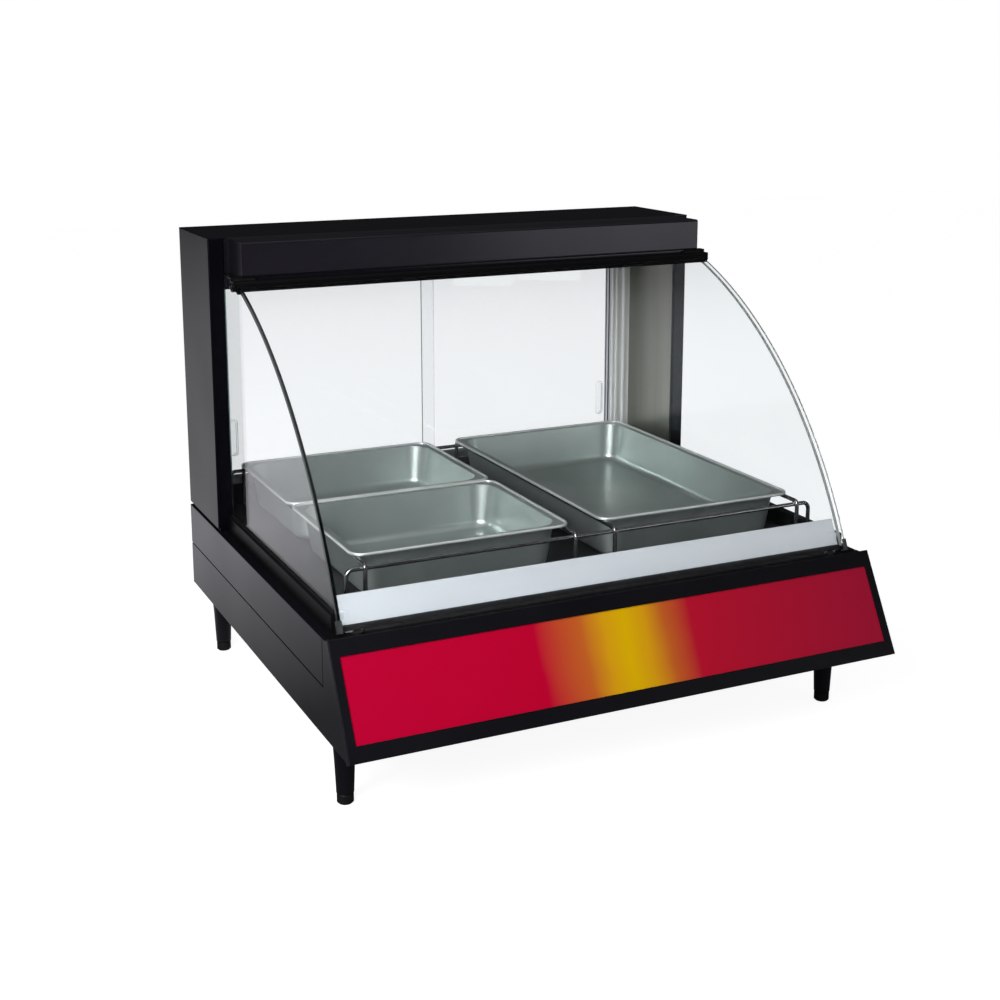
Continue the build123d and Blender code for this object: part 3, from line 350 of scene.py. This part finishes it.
def paneMaterial(name, look, axis, edgeTone, ior, alongEdge=False):
    # clear where the pane's broad faces look along the axis, darker and frosted on its ground edges;
    # with alongEdge it is the ground edges that look along the axis
    material, tree, shader = newMaterial(name)
    shader.inputs["IOR"].default_value = ior
    shader.inputs["Transmission Weight"].default_value = 1.0
    shader.inputs["Specular Tint"].default_value = (*look["glint"], 1)
    geometry = tree.nodes.new("ShaderNodeNewGeometry")
    split = tree.nodes.new("ShaderNodeSeparateXYZ")
    tree.links.new(geometry.outputs["True Normal"], split.inputs[0])
    across = mathOf(tree, "ABSOLUTE", split.outputs[axis], 0)
    onEdge = mathOf(tree, "GREATER_THAN" if alongEdge else "LESS_THAN", across, look["edgeTurn"])
    streak = noiseField(tree, look["streakScale"], look["streakDetail"], look["streakStretch"])
    dimmed = darker(look["body"], look["streakShade"])
    clear = blendColours(tree, spreadOf(tree, streak, 0, 1), look["body"], dimmed)
    grind = spreadOf(tree, noiseField(tree, look["grindScale"]), 0, 1)
    ground = blendColours(tree, grind, edgeTone, darker(edgeTone, look["grindShade"]))
    tree.links.new(blendColours(tree, onEdge, clear, ground), shader.inputs["Base Color"])
    frost = spreadOf(tree, noiseField(tree, look["frostScale"]), *look["edgeRoughness"])
    tree.links.new(mathOf(tree, "MULTIPLY", onEdge, frost), shader.inputs["Roughness"])
    shadow = tree.nodes.new("ShaderNodeBsdfTransparent")
    shadow.inputs["Color"].default_value = (*look["film"], 1)
    path = tree.nodes.new("ShaderNodeLightPath")
    pane = tree.nodes.new("ShaderNodeMixShader")
    tree.links.new(path.outputs["Is Shadow Ray"], pane.inputs[0])
    tree.links.new(shader.outputs[0], pane.inputs[1])
    tree.links.new(shadow.outputs[0], pane.inputs[2])
    tree.links.new(pane.outputs[0], tree.nodes["Material Output"].inputs["Surface"])
    return material


lampLook = {
    "tone": (0.86, 0.84, 0.76), "shade": (0.93, 0.91, 0.85), "frostScale": 70.0, "frostDetail": 2.0,
    "roughness": (0.29, 0.38), "clearness": 0.35, "ior": 1.45, "grainScale": 900.0, "grainDepth": 0.00004,
}


def lampMaterial(look):
    # frosted warm white tube
    material, tree, shader = newMaterial("lampGlass")
    frost = noiseField(tree, look["frostScale"], look["frostDetail"])
    tones = blendColours(tree, spreadOf(tree, frost, 0, 1), look["tone"], look["shade"])
    tree.links.new(tones, shader.inputs["Base Color"])
    tree.links.new(spreadOf(tree, frost, *look["roughness"]), shader.inputs["Roughness"])
    shader.inputs["Transmission Weight"].default_value = look["clearness"]
    shader.inputs["IOR"].default_value = look["ior"]
    bumpFrom(tree, shader, noiseField(tree, look["grainScale"]), look["grainDepth"])
    return material


materials["signGradient"] = signMaterial(signLook)
for name, axis, edgeTone, ior, alongEdge in (
    ("frontPane", 0, "edge", "ior", True), ("sidePane", 0, "edge", "sideIor", False),
    ("doorPane", 1, "paleEdgePaintedLight", "ior", False), ("clearPull", 1, "body", "ior", False),
):
    materials[name] = paneMaterial(name, paneLook, axis, paneLook[edgeTone], paneLook[ior], alongEdge)
materials["lampGlass"] = lampMaterial(lampLook)
print("materials made:", len(materials))

nodeFinish = {
    "blackPaint": ("base_tray", "side_covers", "header_shell", "rear_sill", "rear_cover", "legs"),
    "canopyBlackPaintedLight": ("canopy_shell", "canopy_end_caps"),
    "columnBlackPaintedShade": ("column_left", "column_right"),
    "railBlack": ("side_rails", "hinge_brackets", "hinge_rail", "base_top_plate"),
    "deckBlack": ("deck_plate",),
    "brushedSteel": ("inner_panels", "heat_reflector"),
    "panSteel": ("full_pan", "half_pan_front", "half_pan_rear"),
    "brightStrip": ("front_riser",),
    "trackAluminium": ("lower_track", "upper_track"),
    "jambAluminium": ("door_jambs",),
    "galvanised": ("deck_tray", "control_panel"),
    "wireChrome": ("rack_rails", "rack_crossbars", "element_guard"),
    "rodSheath": ("infrared_element",),
    "ceramic": ("element_insulators", "lamp_sockets", "terminal_block"),
    "heaterFoil": ("deck_heater",),
    "insulationWool": ("deck_insulation",),
    "rubberBlack": ("foot_front_left", "foot_front_right", "foot_rear_left", "foot_rear_right", "glass_pads"),
    "guardGrey": ("glass_corner_guards",),
    "switchBlack": ("lamp_rocker",),
    "switchRed": ("power_rocker",),
    "knobBlack": ("thermostat_knob", "cord_gland"),
    "housingPlastic": ("switch_bodies", "thermostat_body"),
    "pilotAmber": ("indicator_lamp",),
    "screwSteel": ("cover_screws", "deck_sensor"),
    "frameGloss": ("sign_frame",),
    "signGradient": ("sign_insert",),
    "frontPane": ("front_glass",),
    "sidePane": ("side_glass_left", "side_glass_right"),
    "doorPane": ("door_left", "door_right"),
    "clearPull": ("door_left_pull", "door_right_pull"),
    "lampGlass": ("display_lamps",),
}
dressed = set()
for finish, nodeNames in nodeFinish.items():
    for nodeName in nodeNames:
        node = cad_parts[nodeName]
        if not node.material_slots:
            node.data.materials.append(materials[finish])
        for place in node.material_slots:
            place.material = materials[finish]
        dressed.add(nodeName)
print("nodes left without a finish:", sorted(set(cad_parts) - dressed))

# small pieces fitted round the solids, in millimetres: x across, depth from the rear face, z up

mm = 0.001
rearFace = cadHigh.y


def spot(x, depth, z):
    return Vector((x * mm, rearFace - depth * mm, z * mm))


def bridge(work, rows):
    # faces between each ring of vertices and the next
    for near, far in rows:
        for i in range(len(near)):
            j = (i + 1) % len(near)
            work.faces.new((near[i], near[j], far[j], far[i]))


def loft(work, rings):
    # joins rings of points into one closed form with flat ends
    made = [[work.verts.new(point) for point in ring] for ring in rings]
    bridge(work, zip(made, made[1:]))
    work.faces.new(made[0][::-1])
    work.faces.new(made[-1])


def ringLoft(work, rings):
    # joins rings of points, and the last ring to the first, as round a bead or a washer
    made = [[work.verts.new(point) for point in ring] for ring in rings]
    bridge(work, zip(made, made[1:] + made[:1]))


def extrusion(work, outline, low, high):
    # outline is (depth, z) pairs, run along x
    loft(work, [[spot(x, d, z) for d, z in outline] for x in (low, high)])


def circleTurns(sides):
    return [2 * math.pi * i / sides for i in range(sides)]


def turned(work, profile, centre, axis, sides=32):
    # profile is (radius, reach) pairs turned about an axis: x, rear or up
    x, d, z = centre
    rings = []
    for radius, reach in profile:
        ring = []
        for turn in circleTurns(sides):
            a, b = radius * math.cos(turn), radius * math.sin(turn)
            offset = {"x": (reach, a, b), "rear": (a, -reach, b), "up": (a, b, reach)}[axis]
            ring.append(spot(x + offset[0], d + offset[1], z + offset[2]))
        rings.append(ring)
    loft(work, rings)


def roundedRing(width, height, corner, steps=6):
    # (across, up) points of a rectangle with round corners
    points = []
    for k, (sx, sz) in enumerate(((1, 1), (-1, 1), (-1, -1), (1, -1))):
        for i in range(steps + 1):
            turn = math.pi / 2 * (k + i / steps)
            points.append((sx * (width / 2 - corner) + corner * math.cos(turn),
                           sz * (height / 2 - corner) + corner * math.sin(turn)))
    return points


def meshOf(build, sharp=0.7):
    # runs a bmesh recipe, then shades it smooth except across edges sharper than that turn
    work = bmesh.new()
    build(work)
    bmesh.ops.recalc_face_normals(work, faces=work.faces)
    mesh = bpy.data.meshes.new("piece")
    work.to_mesh(mesh)
    work.free()
    mesh.polygons.foreach_set("use_smooth", [True] * len(mesh.polygons))
    mesh.set_sharp_from_angle(angle=sharp)
    return mesh


def addPiece(name, mesh, body, finish, stands=()):
    piece = bpy.data.objects.new(name, mesh)
    bpy.context.collection.objects.link(piece)
    mesh.materials.clear()
    mesh.materials.append(materials[finish])
    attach(piece, body)
    if stands:
        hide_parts(*stands)


def settled(data, change=None, **settings):
    # the plain mesh that an object with this data has, after one modifier where one is named
    holder = bpy.data.objects.new("holder", data)
    bpy.context.collection.objects.link(holder)
    if change:
        modifier = holder.modifiers.new(change, change)
        for key, value in settings.items():
            setattr(modifier, key, value)
    view = bpy.context.evaluated_depsgraph_get()
    mesh = bpy.data.meshes.new_from_object(holder.evaluated_get(view))
    bpy.data.objects.remove(holder)
    return mesh


# the last three are shares of a face's normal: the least to the right, the least forwards, the most sideways
paintedLitPaneBands = {"lift": 0.05, "thick": 0.12, "sharp": 0.6, "leastRight": 0.9, "leastFront": 0.2, "mostSide": 0.5}


def makePaneBands(look):
    # ground edge bands on the curved front glass's right edge and on the right side glass's front edge; the
    # ground edge is real, its pale tone is painted light, where the left edges stay dark
    def onRight(normal):
        return normal.x >= look["leastRight"]

    def onFront(normal):
        return normal.y <= -look["leastFront"] and abs(normal.x) <= look["mostSide"]
    for name, node, body, isBand in (
        ("frontGlassPaintedLitBand", "front_glass", "front_window", onRight),
        ("sideGlassPaintedLitBand", "side_glass_right", "case", onFront),
    ):
        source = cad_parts[node]

        def build(work):
            work.from_mesh(source.data)
            work.transform(source.matrix_world)
            work.normal_update()
            rest = [face for face in work.faces if not isBand(face.normal)]
            bmesh.ops.delete(work, geom=rest, context="FACES")
            near = {vert: vert.co + vert.normal * look["lift"] * mm for vert in work.verts}
            grown = bmesh.ops.extrude_face_region(work, geom=work.faces[:])
            far = [part for part in grown["geom"] if isinstance(part, bmesh.types.BMVert)]
            for vert in far:
                vert.co += vert.normal * (look["lift"] + look["thick"]) * mm
            for vert, place in near.items():
                vert.co = place
        addPiece(name, meshOf(build, look["sharp"]), body, "groundGlassPaintedLight")


panRims = {
    "pans": (
        ("fullPanRim", "full_pan", 196.0, 37.0, 564.0),
        ("rearHalfPanRim", "half_pan_rear", -176.0, 37.0, 299.5),
        ("frontHalfPanRim", "half_pan_front", -176.0, 301.5, 564.0),
    ),
    "width": 325.0, "corner": 20.0, "bead": 1.9, "beadSides": 12, "centre": 306.6, "sharp": 1.2,
}


def makePanRims(look):
    # rolled bead round each pan's flange, in the pan's steel painted lighter as a painted highlight
    for name, body, x, rear, front in look["pans"]:
        def build(work):
            rings = []
            for turn in circleTurns(look["beadSides"]):
                inset = look["bead"] * (1 - math.cos(turn))
                width, length = look["width"] - 2 * inset, front - rear - 2 * inset
                outline = roundedRing(width, length, look["corner"] - inset)
                z = look["centre"] + look["bead"] * math.sin(turn)
                rings.append([spot(x + u, (rear + front) / 2 + v, z) for u, v in outline])
            ringLoft(work, rings)
        addPiece(name, meshOf(build, look["sharp"]), body, "rimSteelPaintedHighlight")


riserCaps = {
    "places": (372.0, 379.8, 385.1), "sharp": 0.2,
    "flush": ((648.49, 239.2), (641.93, 253.3), (637.7, 262.4), (637.24, 263.4), (629.05, 280.95),
              (628.2, 280.95), (636.76, 262.6), (636.9, 262.2), (641.1, 253.2), (647.6, 239.2)),
    "raised": ((648.5, 239.2), (641.9, 253.3), (641.4, 262.4), (637.25, 263.4), (629.0, 281.0),
               (627.4, 281.0), (635.6, 262.6), (640.3, 262.2), (640.3, 253.2), (646.0, 239.2)),
}


def makeRiserCaps(look):
    # end caps that carry the bright strip out to the side glasses, raised over the ends of their rails
    def build(work):
        for side in (-1, 1):
            loft(work, [[spot(side * x, d, z) for d, z in look[shape]]
                        for x, shape in zip(look["places"], ("flush", "raised", "raised"))])
    addPiece("riserCaps", meshOf(build, look["sharp"]), "case", "brightStrip")


hingeSeals = {
    "from": 364.8, "to": 395.4,
    "section": ((236.0, 635.4), (245.6, 635.4), (245.6, 633.2), (244.2, 632.1), (243.0, 631.0),
                (240.5, 631.0), (236.0, 633.0)),
}


def makeHingeSeals(look):
    # thin seals between the hinge tabs and the barrel of the glass
    def build(work):
        for side in (-1, 1):
            extrusion(work, look["section"], side * look["from"], side * look["to"])
    addPiece("hingeSeals", meshOf(build), "case", "rubberBlack")


footGasket = {
    "lipHalf": 385.0,
    "lip": ((647.9, 240.9), (645.4, 246.3), (646.3, 247.2), (649.6, 247.2), (651.0, 246.0), (651.5, 240.9)),
    "bedHalf": 357.0,
    "bed": ((649.3, 238.15), (648.0, 240.9), (658.6, 240.7), (659.6, 240.0), (659.8, 238.15)),
}


def makeFootGasket(look):
    # rubber seat under the foot of the curved glass, with a lip behind it
    def build(work):
        extrusion(work, look["lip"], -look["lipHalf"], look["lipHalf"])
        extrusion(work, look["bed"], -look["bedHalf"], look["bedHalf"])
    addPiece("footGasket", meshOf(build), "case", "rubberBlack")


# inner and outer give each bead's thin edge, its thick edge against the glass, and its front end
railBeads = {
    "inner": (383.4, 385.4, 635.5), "outer": (392.6, 390.6, 639.0), "rear": 173.0, "seat": 262.05,
    "rise": 1.9, "steps": 6,
}


def makeRailBeads(look):
    # sealant beads along both faces of each side glass, on top of its rail
    def build(work):
        for side in (-1, 1):
            for thin, thick, front in (look["inner"], look["outer"]):
                arc = [(thick, 0.0)]
                for i in range(look["steps"] + 1):
                    turn = math.pi / 2 * i / look["steps"]
                    arc.append((thick + (thin - thick) * math.cos(turn), look["rise"] * math.sin(turn)))
                loft(work, [[spot(side * x, depth, look["seat"] + up) for x, up in arc]
                            for depth in (look["rear"], front)])
    addPiece("railBeads", meshOf(build), "case", "rubberBlack")


jambTrim = {
    "low": 280.5, "high": 596.5, "back": 25.1, "sharp": 0.9,
    "flutes": ((350.6, 26.0), (352.0, 27.5), (354.4, 27.6), (355.4, 26.4), (359.6, 26.2), (360.9, 28.0),
               (364.9, 28.1), (366.4, 26.4), (372.6, 26.2), (374.0, 28.0), (378.4, 28.1), (379.9, 26.4),
               (387.3, 26.2)),
}


def makeJambTrims(look):
    # fluted aluminium channel on the front of each door jamb
    outline = [(look["flutes"][0][0], look["back"]), *look["flutes"], (look["flutes"][-1][0], look["back"])]

    def build(work):
        for side in (-1, 1):
            loft(work, [[spot(side * x, d, z) for x, d in outline] for z in (look["low"], look["high"])])
    addPiece("jambTrims", meshOf(build, look["sharp"]), "case", "fluteAluminium")


# rings are width, height, corner and rise from the door's face
doorPull = {
    "x": 339.0, "z": 345.0, "seatGap": 0.15, "leftDoor": 17.0, "rightDoor": 6.0,
    "rings": ((14.0, 60.0, 5.5, 0.0), (14.0, 60.0, 5.5, 1.6), (13.2, 59.2, 5.2, 2.4), (11.6, 57.6, 4.6, 2.75),
              (10.2, 56.2, 4.2, 2.6), (8.4, 54.4, 3.6, 1.6), (6.4, 52.4, 2.8, 1.2)),
}


def makeDoorPulls(look):
    # clear finger pulls with a hollowed face, bonded to the rear of each door
    for name, body, node, side, face in (
        ("leftDoorPull", "left_door", "door_left_pull", -1, look["leftDoor"]),
        ("rightDoorPull", "right_door", "door_right_pull", 1, look["rightDoor"]),
    ):
        def build(work):
            loft(work, [[spot(side * look["x"] + u, face - look["seatGap"] - rise, look["z"] + v)
                         for u, v in roundedRing(width, height, corner)]
                        for width, height, corner, rise in look["rings"]])
        addPiece(name, meshOf(build), body, "clearPull", (node,))


rackWelds = {
    "rails": (-331.0, -21.0, 41.0, 351.0), "bars": (45.5, 584.0), "z": 298.75, "sides": 20, "sharp": 1.2,
    "bulge": ((2.0, -3.4), (3.1, -1.6), (3.6, -0.6), (3.6, 0.6), (3.1, 1.6), (2.0, 3.4)),
}


def makeRackWelds(look):
    # weld nuggets where the long wires cross the end wires
    def build(work):
        for x in look["rails"]:
            for depth in look["bars"]:
                turned(work, look["bulge"], (x, depth, look["z"]), "up", look["sides"])
    addPiece("rackWelds", meshOf(build, look["sharp"]), "rack", "wireChrome")


coverScrew = {
    "places": ((-401.0, 118.0), (-401.0, 226.0), (0.0, 118.0), (0.0, 226.0), (401.0, 118.0), (401.0, 226.0)),
    "dome": ((2.0, -7.6), (2.0, 0.02), (3.6, 0.02), (3.6, 0.45), (3.3, 0.85), (2.5, 1.15), (1.4, 1.27),
             (0.3, 1.3)),
    "sides": 40, "face": 1.6, "armLength": 3.8, "armWidth": 0.9, "recess": 0.9, "recessTaper": 0.5,
    "cutterTop": 2.0,
}


def makeCoverScrews(look):
    # pan-head screws with a cross recess
    def head(work):
        turned(work, look["dome"], (0, 0, 0), "rear", look["sides"])

    def cross(work):
        long, thin = look["armLength"] / 2, look["armWidth"] / 2
        floor = look["dome"][-1][1] - look["recess"]
        for a, b in ((long, thin), (thin, long)):
            loft(work, [[spot(share * u, -rise, share * v) for u, v in ((-a, -b), (a, -b), (a, b), (-a, b))]
                        for share, rise in ((look["recessTaper"], floor), (1, look["cutterTop"]))])
    cutter = bpy.data.objects.new("crossCutter", meshOf(cross))
    bpy.context.collection.objects.link(cutter)
    screw = settled(meshOf(head), "BOOLEAN", object=cutter, operation="DIFFERENCE", solver="EXACT",
                    use_self=True)
    bpy.data.objects.remove(cutter)

    def build(work):
        for x, z in look["places"]:
            before = set(work.verts)
            work.from_mesh(screw)
            shift = spot(x, look["face"], z) - spot(0, 0, 0)
            for vert in set(work.verts) - before:
                vert.co += shift
    addPiece("coverScrews", meshOf(build), "case", "screwSteel", ("cover_screws",))


controlMarks = {
    "knob": (-283.0, 164.0), "panel": 24.0, "proud": 0.12, "tickFrom": 20.2, "tickTo": 23.0, "tickWidth": 0.7,
    "numberAt": 26.6, "numberSize": 4.6, "steps": 10, "stepTurn": 30.0,
}


def makeDialMarks(look):
    # ticks and numbers printed round the thermostat knob, read from behind the case
    kx, kz = look["knob"]
    turns = [math.radians(look["stepTurn"] * i) for i in range(look["steps"] + 1)]

    def ticks(work):
        inner, outer, half = look["tickFrom"], look["tickTo"], look["tickWidth"] / 2
        for turn in turns:
            ring = [(kx - reach * math.sin(turn) - side * math.cos(turn),
                     kz + reach * math.cos(turn) - side * math.sin(turn))
                    for reach, side in ((inner, -half), (outer, -half), (outer, half), (inner, half))]
            loft(work, [[spot(x, look["panel"] - rise, z) for x, z in ring] for rise in (0.0, look["proud"])])
    addPiece("dialTicks", meshOf(ticks), "case", "markBlack")
    facingRear = Matrix.Rotation(math.pi, 4, "Z") @ Matrix.Rotation(math.pi / 2, 4, "X")
    for number, turn in enumerate(turns):
        words = bpy.data.curves.new("dialNumber", "FONT")
        words.body = str(number)
        words.size = look["numberSize"] * mm
        words.extrude = look["proud"] / 2 * mm
        words.align_x, words.align_y = "CENTER", "CENTER"
        mesh = settled(words)
        place = spot(kx - look["numberAt"] * math.sin(turn), look["panel"] - look["proud"] / 2,
                     kz + look["numberAt"] * math.cos(turn))
        mesh.transform(Matrix.Translation(place) @ facingRear)
        addPiece("dialNumber" + str(number), mesh, "case", "markBlack")


knobLine = {
    "x": -283.0, "from": 167.0, "to": 180.4, "width": 1.1, "corner": 0.44, "steps": 4, "face": 6.5,
    "sunk": 0.05, "proud": 0.12,
}


def makeKnobLine(look):
    # white line on the knob's face that points at the numbers
    def build(work):
        ring = roundedRing(look["width"], look["to"] - look["from"], look["corner"], look["steps"])
        middle = (look["from"] + look["to"]) / 2
        loft(work, [[spot(look["x"] + u, look["face"] - rise, middle + v) for u, v in ring]
                    for rise in (-look["sunk"], look["proud"])])
    addPiece("knobLine", meshOf(build), "thermostat_knob", "markWhite")


rockerMarks = {
    "keys": (("powerRockerMarks", "power_rocker", "switch_red", -147.0),
             ("lampRockerMarks", "lamp_rocker", "switch_plastic", -187.0)),
    "pivot": (28.0, 164.0), "tip": -10.0, "dish": 30.0, "dishAt": -10.0, "markAt": 8.5, "sunk": 0.1,
    "proud": 0.1, "barHalf": 0.6, "barReach": 3.0, "barSteps": 6, "ringOuter": 3.0, "ringInner": 2.0,
    "ringSides": 36,
}


def makeRockerMarks(look):
    # a line for on and a ring for off, moulded into each key's hollow face
    depth, z = look["pivot"]
    pivot = Matrix.Translation(spot(0, depth, z))
    tipped = pivot @ Matrix.Rotation(math.radians(look["tip"]), 4, "X") @ pivot.inverted()
    for name, body, slotName, x in look["keys"]:
        def onKey(across, up, rise):
            face = look["dishAt"] + math.sqrt(look["dish"] ** 2 - up ** 2)
            return tipped @ spot(x + across, face - rise, z + up)

        def build(work):
            at, half, reach, steps = look["markAt"], look["barHalf"], look["barReach"], look["barSteps"]
            inner, outer, low, high = look["ringInner"], look["ringOuter"], -look["sunk"], look["proud"]
            rows = [at - reach + 2 * reach * i / steps for i in range(steps + 1)]
            outline = [(-half, row) for row in rows] + [(half, row) for row in rows[::-1]]
            loft(work, [[onKey(u, v, rise) for u, v in outline] for rise in (low, high)])
            ringLoft(work, [[onKey(radius * math.cos(t), radius * math.sin(t) - at, rise)
                             for t in circleTurns(look["ringSides"])]
                            for radius, rise in ((outer, low), (outer, high), (inner, high), (inner, low))])
        addPiece(name, meshOf(build), body, "markWhite")


# profiles are (radius, reach) pairs
collars = {
    "lampX": (-190.0, 190.0), "lampDepth": 211.0, "lampZ": 625.0, "lampHalf": 60.0,
    "lampCap": ((6.9, -5.8), (7.5, -5.4), (7.2, -4.6), (7.6, -3.8), (7.2, -3.0), (7.6, -2.2), (7.3, -1.4),
                (8.4, -0.6), (9.2, 1.2), (8.0, 1.8)),
    "pilot": (-227.0, 24.0, 164.0),
    "pilotRing": ((6.1, 0.02), (8.0, 0.02), (7.8, 1.1), (6.9, 1.5), (6.1, 1.3)),
    "gland": (-323.0, 16.0, 164.0),
    "glandCap": ((10.4, 0.02), (10.6, 1.2), (10.2, 2.6), (8.6, 4.2), (6.6, 4.8), (5.7, 4.6), (5.7, 0.02)),
    "hinge": (400.9, 250.0, 626.0),
    "hingeCap": ((5.2, 0.0), (5.2, 0.9), (4.4, 1.9), (2.6, 2.6), (0.4, 2.8)),
    "ringSides": 40, "hingeSides": 28,
}


def makeCollars(look):
    # turned rings and caps: lamp caps, pilot bezel, gland seal and the hinge pins' end caps
    def lampCaps(work):
        for x in look["lampX"]:
            turned(work, look["lampCap"], (x - look["lampHalf"], look["lampDepth"], look["lampZ"]), "x")

    def pilotBezel(work):
        turned(work, look["pilotRing"], look["pilot"], "rear", look["ringSides"])

    def glandSeal(work):
        turned(work, look["glandCap"], look["gland"], "rear", look["ringSides"])

    def hingeCaps(work):
        x, depth, z = look["hinge"]
        for side in (-1, 1):
            profile = [(radius, side * reach) for radius, reach in look["hingeCap"]]
            turned(work, profile, (side * x, depth, z), "x", look["hingeSides"])
    addPiece("lampCaps", meshOf(lampCaps), "case", "capBrass")
    addPiece("pilotBezel", meshOf(pilotBezel), "case", "screwSteel")
    addPiece("glandSeal", meshOf(glandSeal), "case", "rubberBlack")
    addPiece("hingeCaps", meshOf(hingeCaps), "case", "blackPaint")


makePaneBands(paintedLitPaneBands)
makePanRims(panRims)
makeRiserCaps(riserCaps)
makeHingeSeals(hingeSeals)
makeFootGasket(footGasket)
makeRailBeads(railBeads)
makeJambTrims(jambTrim)
makeDoorPulls(doorPull)
makeRackWelds(rackWelds)
makeCoverScrews(coverScrew)
makeDialMarks(controlMarks)
makeKnobLine(knobLine)
makeRockerMarks(rockerMarks)
makeCollars(collars)


# floor, backdrop, lights and camera

studio = {
    "floorTone": (0.35, 0.35, 0.35), "floorMirrorTone": (0.08, 0.08, 0.08), "floorLift": 0.92,
    "floorSize": 14.0, "floorDrop": 0.0006, "floorMirrorNear": 0.05, "floorMirrorFar": 1.0,
    "floorMirrorFrom": 0.03, "floorMirrorTo": 0.95, "floorMirrorFadeFrom": 1.8, "floorMirrorFadeTo": 5.0,
    "floorMirrorFade": 0.5,
    "worldLight": 0.21, "worldSeen": 1.0, "worldMirrorLow": 0.02, "worldMirrorHigh": 0.6,
    "worldMirrorFrom": 0.75, "worldMirrorTo": 1.0, "mirrorHue": (0.96, 0.945, 1.0),
}


def inMirror(tree):
    # 1 for a ray that has met a glossy surface on its way, else 0
    path = tree.nodes.new("ShaderNodeLightPath")
    return mathOf(tree, "GREATER_THAN", path.outputs["Glossy Depth"], 0.5)


def seenBy(tree, plain, seen, mirrored):
    # strength for diffuse light, for what the view and the glass meet, and for reflections
    path = tree.nodes.new("ShaderNodeLightPath")
    glint = inMirror(tree)
    direct = mathOf(tree, "MAXIMUM", path.outputs["Is Camera Ray"], path.outputs["Is Transmission Ray"])
    direct = mathOf(tree, "MAXIMUM", mathOf(tree, "SUBTRACT", direct, glint), 0)
    glint = mathOf(tree, "MAXIMUM", mathOf(tree, "SUBTRACT", glint, path.outputs["Is Diffuse Ray"]), 0)
    level = mathOf(tree, "ADD", plain, mathOf(tree, "MULTIPLY", direct, seen - plain))
    extra = mathOf(tree, "MULTIPLY", glint, mathOf(tree, "SUBTRACT", mirrored, plain))
    return mathOf(tree, "ADD", level, extra)


def stageMaterial(look):
    # pale floor: a lit part that keeps the shadow, and a lift that only the view and reflections meet
    material, tree, shader = newMaterial("studioFloor")
    tree.nodes.remove(shader)
    lit = tree.nodes.new("ShaderNodeBsdfDiffuse")
    floorTones = blendColours(tree, inMirror(tree), look["floorTone"], look["floorMirrorTone"])
    tree.links.new(floorTones, lit.inputs["Color"])
    lift = tree.nodes.new("ShaderNodeEmission")
    tree.links.new(blendColours(tree, inMirror(tree), (1, 1, 1), look["mirrorHue"]), lift.inputs["Color"])
    behind = axisOf(tree, 1)  # the floor brightens behind the object, as before a lit backdrop
    rise = spreadOf(tree, behind, look["floorMirrorNear"], look["floorMirrorFar"], look["floorMirrorFrom"],
                    look["floorMirrorTo"])
    fade = spreadOf(tree, behind, 1, look["floorMirrorFade"], look["floorMirrorFadeFrom"],
                    look["floorMirrorFadeTo"])
    mirrored = mathOf(tree, "MULTIPLY", rise, fade)
    tree.links.new(seenBy(tree, 0.0, look["floorLift"], mirrored), lift.inputs["Strength"])
    both = tree.nodes.new("ShaderNodeAddShader")
    tree.links.new(lit.outputs[0], both.inputs[0])
    tree.links.new(lift.outputs[0], both.inputs[1])
    tree.links.new(both.outputs[0], tree.nodes["Material Output"].inputs["Surface"])
    return material


def makeFloor(look):
    # broad floor a little under the feet
    mesh = bpy.data.meshes.new("floor")
    half = look["floorSize"] / 2
    corners = [(-half, -half, 0), (half, -half, 0), (half, half, 0), (-half, half, 0)]
    mesh.from_pydata(corners, [], [(0, 1, 2, 3)])
    mesh.materials.append(stageMaterial(look))
    floor = bpy.data.objects.new("floor", mesh)
    floor.location.z = -look["floorDrop"]
    bpy.context.collection.objects.link(floor)


def makeWorld(look):
    # soft even light, white to the view, and a band near the zenith for the tops to reflect
    world = bpy.data.worlds.new("studio")
    bpy.context.scene.world = world
    world.use_nodes = True
    tree = world.node_tree
    light = tree.nodes["Background"]
    tree.links.new(blendColours(tree, inMirror(tree), (1, 1, 1), look["mirrorHue"]), light.inputs["Color"])
    heights = tree.nodes.new("ShaderNodeSeparateXYZ")
    sky = tree.nodes.new("ShaderNodeTexCoord")
    tree.links.new(sky.outputs["Generated"], heights.inputs[0])
    mirrored = spreadOf(tree, heights.outputs[2], look["worldMirrorLow"], look["worldMirrorHigh"],
                        look["worldMirrorFrom"], look["worldMirrorTo"])
    strength = seenBy(tree, look["worldLight"], look["worldSeen"], mirrored)
    tree.links.new(strength, light.inputs["Strength"])


lamps = {
    "keySoftbox": {"place": (-1.2, -1.05, 1.1), "aim": (-0.1, -0.2, 0.3), "size": (0.9, 0.9), "power": 27},
    "rightCard": {"place": (2.3, -3.3, 0.6), "aim": (0.2, 0, 0.6), "size": (1.2, 1.2), "power": 7.5},
}


def makeLamps(setup):
    for name, look in setup.items():
        light = bpy.data.lights.new(name, "AREA")
        light.shape = "RECTANGLE"
        light.size, light.size_y = look["size"]
        light.energy = look["power"]
        lamp = bpy.data.objects.new(name, light)
        lamp.location = look["place"]
        aim = Vector(look["aim"]) - Vector(look["place"])
        lamp.rotation_euler = aim.to_track_quat("-Z", "Y").to_euler()
        bpy.context.collection.objects.link(lamp)


cameraSetup = {
    "place": (-0.98340, -1.99489, 0.94195), "yaw": 0.44388, "pitch": 0.20590, "lens": 54.909, "sensor": 36,
    "shiftY": -0.12,
}


def makeCamera(look):
    data = bpy.data.cameras.new("photoCamera")
    data.sensor_width = look["sensor"]
    data.lens = look["lens"]
    data.shift_y = look["shiftY"]
    camera = bpy.data.objects.new("photoCamera", data)
    camera.location = look["place"]
    camera.rotation_euler = (math.pi / 2 - look["pitch"], 0, -look["yaw"])
    bpy.context.collection.objects.link(camera)
    bpy.context.scene.camera = camera


makeFloor(studio)
makeWorld(studio)
makeLamps(lamps)
makeCamera(cameraSetup)
bpy.context.scene.view_settings.view_transform = "Standard"
print("studio ready")
